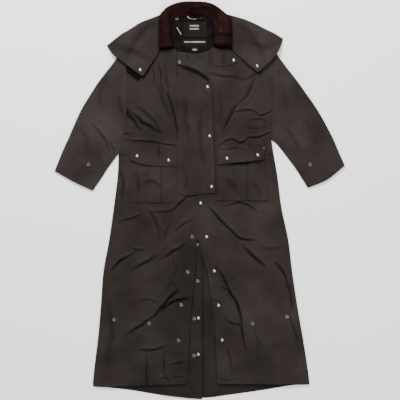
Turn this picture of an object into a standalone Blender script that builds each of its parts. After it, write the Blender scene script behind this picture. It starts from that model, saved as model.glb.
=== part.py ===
"""A full-length waxed duster coat with a shoulder cape and a corduroy collar, laid flat with its front up.

The coat lies on its back on the plane z = 0, with +Y towards the collar and +X towards the right of the
view from above. Every table and size is in millimetres in that frame, and metres() turns them into the
scene's metres when a mesh is made. The wide pieces are walls of cloth whose heights are read off shared
lattices of triangles, so a piece that lies on another follows it exactly, one gap above it.
"""

import math
from collections import namedtuple

import bmesh
import bpy
import numpy as np
from mathutils import Vector
from mathutils.bvhtree import BVHTree
from mathutils.geometry import delaunay_2d_cdt

# Driving sizes, in millimetres
CLOTH = 1.5
LINING = 1.0
LABEL = 0.8
CORDUROY = 3.0
SEAM_GAP = 0.3
LAYER = CLOTH + SEAM_GAP
FRONT_LOFT = 4.0
SIDE_ROLL = 45.0
SLEEVE_LOFT = 2.4
SLEEVE_HOLLOW = 0.9
CAPE_LOFT = 10.0
POCKET_SWELL = 2.5
COLLAR_REST = 3.0
SNAP_DIAMETER = 12.4
SNAP_SIDES = 10
CHAIN_DIAMETER = 2.8

# How finely the cloth is cut: the steps of lattices and outlines, and the distance that is welded
LATTICE_STEP = 26.0
BACK_STEP = 3 * LATTICE_STEP
LATTICE_REACH = 700.0
OUTLINE_STEP = 26.0
WELD = 0.4
CREASE_ANGLE = math.radians(50)

Look = namedtuple("Look", "name colour roughness metallic")
SideRow = namedtuple("SideRow", "y left right")
Fold = namedtuple("Fold", "start middle end half_width height")
SleeveEdges = namedtuple("SleeveEdges", "armhole outer inner cuff_bow")
CollarRow = namedtuple("CollarRow", "neck neck_z roll roll_z edge over_cape")
SnapRow = namedtuple("SnapRow", "name kind x y carrier")

WAXED = Look("waxed_cotton", (0.060, 0.050, 0.043), 0.55, 0.0)
CORD = Look("corduroy", (0.050, 0.018, 0.016), 0.85, 0.0)
SATIN = Look("lining", (0.020, 0.022, 0.020), 0.35, 0.0)
WOVEN = Look("woven_label", (0.035, 0.033, 0.030), 0.6, 0.0)
NICKEL = Look("nickel", (0.70, 0.67, 0.64), 0.30, 1.0)

# The side seams, a row for each station from the armpits down to the hem
SIDES = [
    SideRow(156, -268, 243),
    SideRow(81, -271, 256),
    SideRow(-25, -284, 270),
    SideRow(-130, -299, 292),
    SideRow(-236, -318, 305),
    SideRow(-342, -326, 321),
    SideRow(-447, -335, 339),
    SideRow(-553, -348, 356),
    SideRow(-606, -353, 362),
]
LEFT_SIDE = [(row.left, row.y) for row in SIDES]
RIGHT_SIDE = [(row.right, row.y) for row in SIDES]

# The sleeves' edges, each from the shoulder or the armpit to the cuff
LEFT_SLEEVE = SleeveEdges(
    armhole=[(-248, 507), (-240, 397), (-243, 282), (-268, 156)],
    outer=[
        *[(-248, 507), (-290, 448), (-330, 397), (-364, 345)],
        *[(-395, 292), (-430, 213), (-454, 160), (-479, 97)],
    ],
    inner=[(-268, 156), (-283, 134), (-303, 107), (-328, 68), (-353, 32)],
    cuff_bow=1.0,
)
RIGHT_SLEEVE = SleeveEdges(
    armhole=[(238, 507), (243, 464), (240, 332), (236, 200)],
    outer=[
        *[(238, 507), (280, 448), (320, 397), (357, 345)],
        *[(393, 292), (436, 213), (459, 160), (479, 115)],
    ],
    inner=[(236, 200), (254, 186), (285, 147), (315, 107), (340, 68), (357, 41)],
    cuff_bow=9.0,
)
# How far round an armhole or a sleeve, and how far down a sleeve, its points stand
SECTION_SHARES = (0.0, 0.05, 0.17, 0.33, 0.5, 0.67, 0.83, 0.95, 1.0)
SLEEVE_SHARES = (0.0, 0.09, 0.2, 0.32, 0.44, 0.56, 0.68, 0.8, 0.9, 1.0)

# The lower edge of the cape's back is a parabola: its lowest point, and its rise at the half span
CAPE_LOW = 292.0
CAPE_RISE = 216.0
CAPE_HALF_SPAN = 300.0

# The back vent: the top of the opening, and the two edges of the overlap
VENT_TOP = -130.0
VENT_UNDER_EDGE = -32.0
VENT_OVER_EDGE = 7.0

# The largest folds, each a soft ridge with a trough on its right as it runs from start to end
BODY_FOLDS = [
    Fold((-240, 304), (-196, 250), (-136, 196), 34, 5.0),
    Fold((-100, 350), (-82, 270), (-74, 190), 26, 4.5),
    Fold((-150, 450), (-134, 400), (-122, 350), 26, 3.5),
    Fold((186, 400), (128, 320), (84, 222), 30, 5.5),
    Fold((110, 300), (176, 300), (232, 308), 26, 3.5),
    Fold((66, 204), (140, 208), (236, 216), 26, 4.5),
    Fold((-210, 40), (-160, 62), (-118, 36), 28, 4.0),
    Fold((-290, -92), (-235, -62), (-180, -50), 28, 4.5),
    Fold((-156, -44), (-100, -18), (-34, 18), 30, 5.5),
    Fold((-166, -38), (-138, -92), (-130, -160), 28, 5.5),
    Fold((-300, -226), (-240, -180), (-196, -168), 30, 6.0),
    Fold((-224, -236), (-140, -180), (-50, -134), 32, 6.5),
    Fold((-180, -390), (-112, -320), (-40, -258), 32, 7.5),
    Fold((-256, -458), (-200, -402), (-152, -340), 30, 5.0),
    Fold((-200, -484), (-150, -488), (-104, -482), 28, 4.0),
    Fold((36, -24), (86, -104), (178, -140), 32, 7.0),
    Fold((126, -146), (176, -184), (226, -226), 30, 6.0),
    Fold((248, -200), (296, -300), (326, -440), 36, 5.5),
    Fold((54, -156), (92, -300), (154, -500), 34, 6.5),
    Fold((80, -12), (140, -16), (190, -46), 28, 4.5),
    Fold((206, -350), (214, -450), (208, -548), 32, 4.5),
    Fold((-172, -500), (-176, -555), (-176, -612), 28, 4.0),
]
SLEEVE_FOLDS = [
    Fold((-330, 376), (-326, 330), (-330, 296), 26, 3.0),
    Fold((-350, 240), (-322, 210), (-300, 160), 26, 4.0),
    Fold((276, 250), (320, 210), (345, 160), 28, 2.5),
]

# The collar, a row for each station from its left front end round the back to its right front end
COLLAR_ROWS = [
    CollarRow((-84, 503), 11.0, (-102, 499), 24, (-132, 496), True),
    CollarRow((-91, 527), 11.0, (-107, 524), 29, (-133, 524), True),
    CollarRow((-95, 560), 11.0, (-110, 560), 31, (-133, 562), True),
    CollarRow((-91, 592), 10.0, (-111, 604), 30, (-131, 610), True),
    CollarRow((-80, 603), 8.5, (-106, 634), 26, (-114, 624), False),
    CollarRow((-50, 609), 7.5, (-62, 653), 22, (-57, 631), False),
    CollarRow((-4, 612), 7.5, (-8, 655), 20, (-7, 630), False),
    CollarRow((22, 609), 7.5, (32, 650), 22, (28, 629), False),
    CollarRow((40, 600), 8.5, (62, 631), 26, (68, 619), False),
    CollarRow((46, 583), 11.0, (72, 601), 30, (102, 604), True),
    CollarRow((48, 550), 12.5, (68, 556), 31, (105, 562), True),
    CollarRow((46, 522), 13.5, (66, 522), 29, (106, 524), True),
    CollarRow((46, 507), 13.5, (64, 502), 25, (106, 499), True),
]

# The press studs: domed caps, the ring-shaped studs that they close on, and one small eyelet
SNAP_ROWS = [
    SnapRow("snap_cape_left", "cap", -197, 431, "cape_front_left"),
    SnapRow("snap_cape_right", "cap", 190, 444, "cape_front_right"),
    SnapRow("snap_throat", "cap", 112, 463, "throat_tab"),
    SnapRow("snap_fly_1", "cap", 26, 375, "fly"),
    SnapRow("snap_fly_2", "cap", 33, 213, "fly"),
    SnapRow("snap_fly_3", "cap", 39, 46, "fly"),
    SnapRow("snap_front", "cap", 3, -9, "front_right"),
    SnapRow("snap_pocket_left_1", "cap", -207, 147, "pocket_flap_left"),
    SnapRow("snap_pocket_left_2", "cap", -103, 133, "pocket_flap_left"),
    SnapRow("snap_pocket_right_1", "cap", 90, 139, "pocket_flap_right"),
    SnapRow("snap_pocket_right_2", "cap", 192, 150, "pocket_flap_right"),
    SnapRow("eyelet_pocket_right", "eyelet", 212, 172, "pocket_flap_right"),
    SnapRow("snap_row_right_1", "cap", 23, -120, "front_right"),
    SnapRow("snap_row_right_2", "cap", 48, -233, "front_right"),
    SnapRow("snap_row_right_3", "cap", 62, -346, "front_right"),
    SnapRow("snap_row_right_4", "cap", 74, -461, "front_right"),
    SnapRow("stud_row_left_1", "stud", -25, -120, "front_left"),
    SnapRow("stud_row_left_2", "stud", -40, -236, "front_left"),
    SnapRow("stud_row_left_3", "stud", -61, -345, "front_left"),
    SnapRow("stud_row_left_4", "stud", -70, -462, "front_left"),
    SnapRow("stud_vent_1", "stud", -8, -145, "back_left"),
    SnapRow("stud_vent_2", "stud", -7, -266, "back_left"),
    SnapRow("stud_vent_3", "stud", -18, -390, "back_left"),
    SnapRow("stud_vent_4", "stud", -19, -512, "back_left"),
    SnapRow("snap_vent_3", "cap", -4, -388, "back_left"),
    SnapRow("snap_vent_4", "cap", -5, -508, "back_left"),
    SnapRow("stud_skirt_left_1", "stud", -283, -393, "front_left"),
    SnapRow("stud_skirt_left_2", "stud", -167, -406, "front_left"),
    SnapRow("stud_skirt_right_1", "stud", 174, -407, "front_right"),
    SnapRow("stud_skirt_right_2", "stud", 288, -384, "front_right"),
    SnapRow("stud_sleeve_left", "stud", -367, 119, "sleeve_left"),
    SnapRow("stud_sleeve_right", "stud", 364, 119, "sleeve_right"),
    SnapRow("stud_neck", "stud", -67, 457, "front_right"),
    SnapRow("stud_collar", "stud", -76, 601, "neck_lining"),
]


def metres(*values):
    """Millimetres made the scene's metres."""
    return tuple(v * 0.001 for v in values)


def smooth_step(value, start, end):
    """0 before start, 1 after end, and a smooth rise between them."""
    t = np.clip((value - start) / (end - start), 0.0, 1.0)
    return t * t * (3.0 - 2.0 * t)


def bend_through(start, middle, end, t):
    """The point at t from 0 to 1 on the parabola from start to end that passes middle half way."""
    control = 2 * middle - (start + end) / 2
    return (1 - t) ** 2 * start + 2 * t * (1 - t) * control + t**2 * end


def curve_through(points, spacing=OUTLINE_STEP):
    """Points about every spacing along the smooth curve through the given ones, both ends included."""
    points = [np.array(p, float) for p in points]
    if len(points) == 2:
        return [tuple(p) for p in points]
    padded = [2 * points[0] - points[1], *points, 2 * points[-1] - points[-2]]
    curve = []
    for before, here, there, after in zip(padded, padded[1:], padded[2:], padded[3:]):
        steps = max(1, round(float(np.linalg.norm(there - here)) / spacing))
        slope = (there - before) / 2
        bend = before - 2.5 * here + 2 * there - after / 2
        twist = (3 * here - before - 3 * there + after) / 2
        for t in np.arange(steps) / steps:
            curve.append(here + slope * t + bend * t**2 + twist * t**3)
    curve.append(points[-1])
    return [tuple(p) for p in curve]


def outline(*stretches):
    """A closed outline from smooth stretches: the last point of each is the first one of the next."""
    ring = []
    for stretch in stretches:
        ring.extend(curve_through(stretch)[:-1])
    return ring


def along(points, share):
    """The point at a share of the length of a polyline."""
    points = np.array(points, float)
    reach = np.concatenate([[0.0], np.cumsum(np.linalg.norm(np.diff(points, axis=0), axis=1))])
    return np.array([np.interp(share * reach[-1], reach, points[:, axis]) for axis in (0, 1)])


def shifted(points, dx):
    """The same points, moved in x."""
    return [(x + dx, y) for x, y in points]


def armhole_rim(edges):
    """The points round an armhole that the body and the sleeve share, from the shoulder down."""
    smooth = curve_through(edges.armhole)
    return [tuple(along(smooth, share)) for share in SECTION_SHARES]


def fold_height(folds, x, y):
    """The height of the folds at (x, y): each is a Gaussian ridge on its left with a trough on its right."""
    total = np.zeros(np.broadcast(x, y).shape)
    pieces = 8
    for fold in folds:
        start, middle, end = (np.array(p, float) for p in (fold.start, fold.middle, fold.end))
        bend = [bend_through(start, middle, end, t) for t in np.arange(pieces + 1) / pieces]
        nearest = np.full(total.shape, np.inf)
        side, share = np.zeros(total.shape), np.zeros(total.shape)
        for step, (a, b) in enumerate(zip(bend, bend[1:])):
            run = b - a
            t = np.clip(((x - a[0]) * run[0] + (y - a[1]) * run[1]) / (run @ run), 0, 1)
            off_x, off_y = x - a[0] - t * run[0], y - a[1] - t * run[1]
            distance = np.hypot(off_x, off_y)
            closer = distance < nearest
            nearest = np.where(closer, distance, nearest)
            side = np.where(closer, np.sign(run[0] * off_y - run[1] * off_x), side)
            share = np.where(closer, (step + t) / pieces, share)
        across = nearest * side / fold.half_width
        taper = np.sin(np.pi * (0.12 + 0.76 * share))
        ridge = np.exp(-((across - 0.5) ** 2)) - 0.7 * np.exp(-((across + 0.9) ** 2))
        total = total + fold.height * taper * ridge
    return total


class Lattice:
    """Heights over the whole coat, held at the corners of a grid of right triangles and linear within each.

    The triangles' long sides lean towards the coat's centre line, from the hem up, on both halves.
    """

    def __init__(self, step, height):
        self.step = step
        self.reach = math.ceil(LATTICE_REACH / step)
        marks = np.arange(-self.reach, self.reach + 1) * step
        self.values = height(*np.meshgrid(marks, marks, indexing="ij"))

    def __call__(self, x, y):
        u, v = x / self.step + self.reach, y / self.step + self.reach
        i = np.clip(np.floor(u).astype(int), 0, 2 * self.reach - 1)
        j = np.clip(np.floor(v).astype(int), 0, 2 * self.reach - 1)
        u, v, z = u - i, v - j, self.values
        low_left, low_right = z[i, j], z[i + 1, j]
        high_left, high_right = z[i, j + 1], z[i + 1, j + 1]
        below = low_left + u * (low_right - low_left) + v * (high_right - low_right)
        above = low_left + v * (high_left - low_left) + u * (high_right - high_left)
        near = low_left + u * (low_right - low_left) + v * (high_left - low_left)
        far = high_right + (1 - u) * (high_left - high_right) + (1 - v) * (low_right - high_right)
        return np.where(i < self.reach, np.where(u >= v, below, above), np.where(u + v <= 1, near, far))


def cape_back_edge(x):
    """How far down the coat's back the cape reaches: a parabola, lowest at the centre back."""
    return CAPE_LOW + CAPE_RISE * (x / CAPE_HALF_SPAN) ** 2


def cape_lift(x, y):
    """The height that the back of the cape gives to what lies on it, falling away below its edge."""
    full = cape_back_edge(x) - 1.5 * BACK_STEP
    return LAYER * smooth_step(y, full - 70, full)


def vent_lift(x, y):
    """The rise of the left back skirt, where it laps over the right one."""
    full_x, full_y = VENT_UNDER_EDGE - BACK_STEP, VENT_TOP + BACK_STEP
    return LAYER * smooth_step(x, full_x - 45, full_x) * (1 - smooth_step(y, full_y, full_y + 60))


def inside_sides(x, y):
    """How far inside the side seams a point of the body is."""
    stations = sorted(SIDES, key=lambda row: row.y)
    heights = [row.y for row in stations]
    left = np.interp(y, heights, [row.left for row in stations])
    right = np.interp(y, heights, [row.right for row in stations])
    return np.minimum(x - left, right - x)


back_right_rest = Lattice(BACK_STEP, cape_lift)
back_left_rest = Lattice(BACK_STEP, lambda x, y: cape_lift(x, y) + vent_lift(x, y))


def front_heights(x, y):
    """The fronts' underside: above the back, with a loft and folds that die away at the side seams."""
    armpit, shoulder = 150, 420
    closed = np.where(y < armpit, smooth_step(inside_sides(x, y), 6.0, SIDE_ROLL), 1.0)
    folds = fold_height(BODY_FOLDS, x, y) * (1 - smooth_step(y, shoulder, shoulder + 50))
    return back_left_rest(x, y) + LAYER + np.maximum(0.0, FRONT_LOFT + folds) * closed


def closure_lift(x, y):
    """The rise of the right front where it laps over the left one at the centre."""
    lap_edge = 14 + LATTICE_STEP
    return LAYER * (1 - smooth_step(x + 0 * y, lap_edge, lap_edge + 68))


left_front_rest = Lattice(LATTICE_STEP, front_heights)
right_front_rest = Lattice(LATTICE_STEP, lambda x, y: left_front_rest(x, y) + closure_lift(x, y))
over_fronts = Lattice(LATTICE_STEP, lambda x, y: right_front_rest(x, y) + LAYER)

CAPE_TOP_EDGE = [(-306, 512), (-230, 572), (-135, 614), (90, 614), (190, 582), (275, 534)]


def cape_heights(x, y):
    """The underside of the cape's fronts: clear of what they cover, lifted at the corners, low at the top."""
    top = np.interp(x, [p[0] for p in CAPE_TOP_EDGE], [p[1] for p in CAPE_TOP_EDGE])
    covered = smooth_step(top - y, 4.0, 38.0)
    left_corner = 7.0 * np.exp(-(((x + 196) / 60) ** 2) - ((y - 430) / 45) ** 2)
    right_corner = 5.0 * np.exp(-(((x - 190) / 60) ** 2) - ((y - 445) / 45) ** 2)
    free = LAYER + covered * (CAPE_LOFT + left_corner + right_corner)
    clear = right_front_rest(x, y) + 2 * LAYER + SEAM_GAP
    return np.where(covered > 0.6, np.maximum(free, clear), free)


cape_rest = Lattice(LATTICE_STEP, cape_heights)


def material_of(look):
    """The material of one cloth or metal, made once."""
    material = bpy.data.materials.get(look.name)
    if material is None:
        material = bpy.data.materials.new(look.name)
        material.use_nodes = True
        shader = material.node_tree.nodes["Principled BSDF"]
        shader.inputs["Base Color"].default_value = (*look.colour, 1.0)
        shader.inputs["Roughness"].default_value = look.roughness
        shader.inputs["Metallic"].default_value = look.metallic
    return material


def mesh_of(name, points_mm, faces):
    """A smooth-shaded mesh in metres from points in millimetres, with its hard edges kept sharp."""
    mesh = bpy.data.meshes.new(name)
    mesh.from_pydata([metres(*p) for p in points_mm], [], faces)
    mesh.validate()
    mesh.shade_smooth()
    mesh.set_sharp_from_angle(angle=CREASE_ANGLE)
    return mesh


def add_object(name, data, look, parent):
    """A named object of the coat, in its material."""
    piece = bpy.data.objects.new(name, data)
    bpy.context.scene.collection.objects.link(piece)
    data.materials.append(material_of(look))
    piece.parent = parent
    return piece


def lattice_edges(ring, step, first):
    """The corners and the sides of a lattice's triangles over an outline, numbered from first."""
    low = [math.floor(min(p[axis] for p in ring) / step) for axis in (0, 1)]
    high = [math.ceil(max(p[axis] for p in ring) / step) for axis in (0, 1)]
    columns, rows = (high[axis] - low[axis] + 1 for axis in (0, 1))
    points, edges = [], []
    for i in range(columns):
        for j in range(rows):
            points.append(Vector(((low[0] + i) * step, (low[1] + j) * step)))
            here = first + i * rows + j
            if i + 1 < columns:
                edges.append((here, here + rows))
            if j + 1 < rows:
                edges.append((here, here + 1))
            if i + 1 < columns and j + 1 < rows:
                leans_right = low[0] + i < 0
                edges.append((here, here + rows + 1) if leans_right else (here + 1, here + rows))
    return points, edges


def cells_inside(ring, step):
    """The triangles that an outline cuts from a lattice, or from a plain plane: points and corner numbers."""
    ring = [Vector(p) for p in ring]
    points = list(ring)
    edges = [(i, (i + 1) % len(ring)) for i in range(len(ring))]
    if step:
        more_points, more_edges = lattice_edges(ring, step, len(ring))
        points += more_points
        edges += more_edges
    flat, _, triangles, *_ = delaunay_2d_cdt(points, edges, [], 0, WELD)
    flat = np.array([tuple(p) for p in flat])
    corners = np.array(triangles)
    centres = flat[corners].mean(axis=1)
    inside = np.zeros(len(centres), bool)
    for a, b in zip(ring, ring[1:] + ring[:1]):
        if a.y == b.y:
            continue
        crosses = (a.y > centres[:, 1]) != (b.y > centres[:, 1])
        at = a.x + (centres[:, 1] - a.y) * (b.x - a.x) / (b.y - a.y)
        inside ^= crosses & (centres[:, 0] < at)
    used, index = np.unique(corners[inside], return_inverse=True)
    return flat[used], index.reshape(-1, 3)


def sheet(name, look, ring, under, thickness, parent, step=LATTICE_STEP):
    """A wall of cloth of even thickness, cut to an outline and lying at the heights of its underside."""
    flat, corners = cells_inside(ring, step)
    a, b, c = (flat[corners[:, k]] for k in range(3))
    clockwise = (b[:, 0] - a[:, 0]) * (c[:, 1] - a[:, 1]) < (b[:, 1] - a[:, 1]) * (c[:, 0] - a[:, 0])
    corners = np.where(clockwise[:, None], corners[:, ::-1], corners)
    count = len(flat)
    low = under(flat[:, 0], flat[:, 1]) + np.zeros(count)
    points = [(x, y, z) for (x, y), z in zip(flat, low)]
    points += [(x, y, z + thickness) for x, y, z in points]
    top = [tuple(int(k) for k in face) for face in corners]
    faces = [tuple(k + count for k in face) for face in top] + [face[::-1] for face in top]
    sides = {(face[k], face[(k + 1) % 3]) for face in top for k in range(3)}
    faces += [(a, b, b + count, a + count) for a, b in sorted(sides) if (b, a) not in sides]
    return add_object(name, mesh_of(name, points, faces), look, parent)


def build_backs(parent):
    """The two back panels: a centre seam down to the vent, where the left skirt laps over the right one."""
    inset, armhole_inset = 3.0, 1.5
    left_rim = shifted(armhole_rim(LEFT_SLEEVE), armhole_inset)
    right_rim = shifted(armhole_rim(RIGHT_SLEEVE), -armhole_inset)
    left_hem = [(-350, -606), (-348, -612), (-296, -618), (-230, -625), (-164, -636), (-98, -646)]
    right_hem = [(33, -650), (82, -643), (149, -634), (215, -624), (281, -613), (356, -603)]
    left = outline(
        shifted(LEFT_SIDE, inset),
        [*left_hem, (-33, -653), (VENT_OVER_EDGE, -656)],
        [(VENT_OVER_EDGE, -656), (VENT_OVER_EDGE, VENT_TOP - 27)],
        [(VENT_OVER_EDGE, VENT_TOP - 27), (-0.5, VENT_TOP)],
        [(-0.5, VENT_TOP), (-0.5, 614)],
        [(-0.5, 614), (-62, 611), (-96, 600)],
        [(-96, 600), (-240, 516)],
        [(-240, 516), left_rim[0]],
    )
    right = outline(
        [(VENT_UNDER_EDGE, -653), *right_hem],
        [(356, -603), (359, -603)],
        shifted(RIGHT_SIDE, -inset)[::-1],
        [(240, 156), right_rim[-1]],
    )
    right += right_rim[:0:-1]
    right += outline(
        [right_rim[0], (230, 516)],
        [(230, 516), (84, 594)],
        [(84, 594), (46, 609), (0.0, 614)],
        [(0.0, 614), (0.0, VENT_TOP + 12)],
        [(0.0, VENT_TOP + 12), (VENT_UNDER_EDGE, VENT_TOP - 12)],
        [(VENT_UNDER_EDGE, VENT_TOP - 12), (VENT_UNDER_EDGE, -653)],
    )
    sheet("back_left", WAXED, left + left_rim[:-1], back_left_rest, CLOTH, parent, BACK_STEP)
    sheet("back_right", WAXED, right, back_right_rest, CLOTH, parent, BACK_STEP)


def build_fronts(parent):
    """The two fronts, open below the fly so that the inside of the back and its vent show between them."""
    armhole_inset = 0.4
    left_rim = shifted(armhole_rim(LEFT_SLEEVE), armhole_inset)
    right_rim = shifted(armhole_rim(RIGHT_SLEEVE), -armhole_inset)
    left_hem = [(-353, -606), (-351, -614), (-320, -616), (-296, -615), (-197, -611), (-50, -606)]
    left_opening = [(-41, -603), (-34, -444), (-27, -345), (-16, -236), (-11, -145), (-4, -126)]
    left = outline(
        LEFT_SIDE,
        left_hem,
        [left_hem[-1], left_opening[0]],
        left_opening,
        [left_opening[-1], (14, -117)],
        [(14, -117), (14, 21)],
        [(14, 21), (-3.6, 31)],
        [(-3.6, 31), (-3.6, 384)],
        [(-3.6, 384), (-75, 408)],
        [(-75, 408), (-75, 493)],
        [(-75, 493), (-90, 512), (-100, 543), (-104, 584)],
        [(-104, 584), (-240, 514)],
        [(-240, 514), left_rim[0]],
    )
    right_opening = [(-4.5, -130), (8, -183), (24, -236), (39, -328), (47, -394), (53, -477), (58, -606)]
    right_hem = [(58, -606), (165, -606), (281, -608), (340, -608), (361, -607)]
    right_neckline = [(75, 584), (70, 543), (50, 513), (27, 495), (-9, 485), (-45, 488), (-73.6, 492)]
    right = outline(
        [(-73.6, 408), (-2.6, 384)],
        [(-2.6, 384), (-2.6, 31)],
        [(-2.6, 31), (-4.5, 24)],
        [(-4.5, 24), right_opening[0]],
        right_opening,
        right_hem,
        [right_hem[-1], RIGHT_SIDE[-1]],
        RIGHT_SIDE[::-1],
        [RIGHT_SIDE[0], right_rim[-1]],
    )
    right += right_rim[:0:-1]
    right += outline(
        [right_rim[0], (230, 514)],
        [(230, 514), right_neckline[0]],
        right_neckline,
        [right_neckline[-1], (-73.6, 408)],
    )
    sheet("front_left", WAXED, left + left_rim[:-1], left_front_rest, CLOTH, parent)
    sheet("front_right", WAXED, right, right_front_rest, CLOTH, parent)


def build_closure(parent):
    """The fly that covers the fronts' edges, and the tab at the throat."""
    fly = outline(
        [(-72, 444), (-45, 437), (-6, 421), (24, 401), (38, 384)],
        [(38, 384), (41, 332), (47, 167), (52, 25)],
        [(52, 25), (1, 21), (-39, 15), (-64, 18)],
        [(-64, 18), (-70, 118), (-72, 444)],
    )
    tab = outline(
        [(46, 478), (48, 444)],
        [(48, 444), (80, 442), (110, 450), (128, 459)],
        [(128, 459), (121, 470), (98, 488)],
        [(98, 488), (46, 488)],
        [(46, 488), (46, 478)],
    )
    sheet("fly", WAXED, fly, over_fronts, CLOTH, parent)
    sheet("throat_tab", WAXED, tab, over_fronts, CLOTH, parent)


def build_pocket(side, front, bag_corners, flap_points, parent):
    """A patch pocket that swells a little between its sewn edges, and the flap that lies on it."""
    left_edge = min(x for x, _ in bag_corners)
    right_edge = max(x for x, _ in bag_corners)
    foot = min(y for _, y in bag_corners)

    def bag_heights(x, y):
        across = smooth_step(np.minimum(x - left_edge, right_edge - x), 0.0, 40.0)
        return front(x, y) + LAYER + POCKET_SWELL * across * smooth_step(y - foot, -15.0, 35.0)

    bag_rest = Lattice(LATTICE_STEP, bag_heights)
    flap_rest = Lattice(LATTICE_STEP, lambda x, y: bag_rest(x, y) + LAYER)
    bag = outline(*zip(bag_corners, bag_corners[1:] + bag_corners[:1]))
    flap = outline(flap_points[:2], flap_points[1:5], flap_points[4:6], flap_points[5:] + flap_points[:1])
    sheet("pocket_" + side, WAXED, bag, bag_rest, CLOTH, parent)
    sheet("pocket_flap_" + side, WAXED, flap, flap_rest, CLOTH, parent)


def build_cape(parent):
    """The shoulder cape: its back on the ground under the coat, and its two fronts over the shoulders."""
    low_edge = [(float(x), float(cape_back_edge(x))) for x in np.linspace(-228, 228, 13)]
    back = outline(
        low_edge,
        [low_edge[-1], (266, 535)],
        [(266, 535), (182, 580), (88, 610)],
        [(88, 610), (50, 606), (0, 604), (-80, 606), (-131, 608)],
        [(-131, 608), (-210, 573), (-296, 515)],
        [(-296, 515), low_edge[0]],
    )
    left = outline(
        [(-131, 613), (-164, 600), (-197, 587), (-230, 566), (-263, 546), (-307, 511)],
        [(-307, 511), (-293, 490), (-280, 476), (-240, 446), (-196, 414)],
        [(-196, 414), (-187, 411)],
        [(-187, 411), (-160, 452), (-133, 494)],
        [(-133, 494), (-122, 540), (-122, 602)],
        [(-122, 602), (-131, 613)],
    )
    right = outline(
        [(192, 423), (224, 450), (252, 480), (267, 508), (275, 534)],
        [(275, 534), (248, 551), (215, 567), (182, 584), (149, 598), (115, 608), (90, 615)],
        [(90, 615), (86, 600)],
        [(86, 600), (94, 540), (108, 498)],
        [(108, 498), (148, 460), (192, 423)],
    )
    sheet("cape_back", WAXED, back, lambda x, y: 0 * x, CLOTH, parent, None)
    sheet("cape_front_left", WAXED, left, cape_rest, CLOTH, parent)
    sheet("cape_front_right", WAXED, right, cape_rest, CLOTH, parent)


def sleeve_level(edges, share):
    """One ring of a sleeve: its plan from the inner edge to the outer one, its underside and its top."""
    section = np.array(SECTION_SHARES)
    if share == 0.0:
        plan = np.array(armhole_rim(edges))[::-1]
    else:
        inner = along(curve_through(edges.inner, 8), share)
        outer = along(curve_through(edges.outer, 14), share)
        across = outer - inner
        to_cuff = np.array([across[1], -across[0]]) * np.sign(across[0]) / np.linalg.norm(across)
        bow = edges.cuff_bow * share**3 * 4 * section * (1 - section)
        plan = inner + across * section[:, None] + to_cuff * bow[:, None]
    folds = np.maximum(-1.5, fold_height(SLEEVE_FOLDS, plan[:, 0], plan[:, 1]))
    rest = cape_lift(plan[:, 0], plan[:, 1] - 30.0)
    top = rest + 2 * CLOTH + SLEEVE_HOLLOW + (SLEEVE_LOFT + folds) * np.sqrt(np.sin(np.pi * section))
    return plan, rest, top


def sleeve(name, edges, parent):
    """A flattened tube of cloth, open at the armhole and the cuff, from rings that fan from one to the other.

    A ring runs along its underside from the inner edge to the outer one, and back along its top. The outer
    shell comes first, then the inner one, and a strip at each open end joins them.
    """
    section = np.array(SECTION_SHARES)
    last = len(section) - 1
    sides = 2 * last
    levels = [sleeve_level(edges, share) for share in SLEEVE_SHARES]
    points = []
    for wall in (0.0, CLOTH):
        for plan, rest, top in levels:
            width = float(np.linalg.norm(plan[-1] - plan[0]))
            spread = np.clip(section, wall / width, 1 - wall / width)
            inset = np.array([np.interp(spread, section, plan[:, axis]) for axis in (0, 1)]).T
            under = rest + wall
            under[[0, last]] = ((rest + top) / 2)[[0, last]]
            points += [(*inset[k], under[k]) for k in range(last + 1)]
            points += [(*inset[k], top[k] - wall) for k in range(last - 1, 0, -1)]
    shell = len(levels) * sides
    faces = []
    for level in range(len(levels) - 1):
        for n in range(sides):
            a, b = level * sides + n, level * sides + (n + 1) % sides
            faces.append((a, b, b + sides, a + sides))
            faces.append((a + shell, a + sides + shell, b + sides + shell, b + shell))
    for n in range(sides):
        a, b = n, (n + 1) % sides
        faces.append((b, a, a + shell, b + shell))
        faces.append((a + shell - sides, b + shell - sides, b + 2 * shell - sides, a + 2 * shell - sides))
    mesh = mesh_of(name, points, faces)
    face_outwards(mesh)
    return add_object(name, mesh, WAXED, parent)


def face_outwards(mesh):
    """Turns the faces of a closed mesh to point outwards."""
    body = bmesh.new()
    body.from_mesh(mesh)
    bmesh.ops.recalc_face_normals(body, faces=body.faces)
    body.to_mesh(mesh)
    body.free()


def collar(parent):
    """The collar: a band of corduroy that stands up from the neck seam, rolls over and falls onto the cape.

    At the centre back the fall is folded under, because the coat lies on it.
    """
    profile = (0.0, 0.16, 0.34, 0.5, 0.66, 0.84, 1.0)
    count = len(profile)
    points = []
    for row in COLLAR_ROWS:
        edge_z = CORDUROY / 2 + 0.4
        if row.over_cape:
            edge_z = float(cape_rest(*row.edge)) + CLOTH + COLLAR_REST + CORDUROY / 2
        neck = np.array([*row.neck, row.neck_z], float)
        roll = np.array([*row.roll, row.roll_z], float)
        edge = np.array([*row.edge, edge_z], float)
        points += [bend_through(neck, roll, edge, t) for t in profile]
    faces = []
    for k in range(len(COLLAR_ROWS) - 1):
        for n in range(count - 1):
            a = k * count + n
            faces.append((a, a + 1, a + count + 1, a + count))
    piece = add_object("collar", mesh_of("collar", points, faces), CORD, parent)
    wall = piece.modifiers.new("wall", "SOLIDIFY")
    wall.thickness = CORDUROY * 0.001
    wall.offset = 0.0


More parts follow.
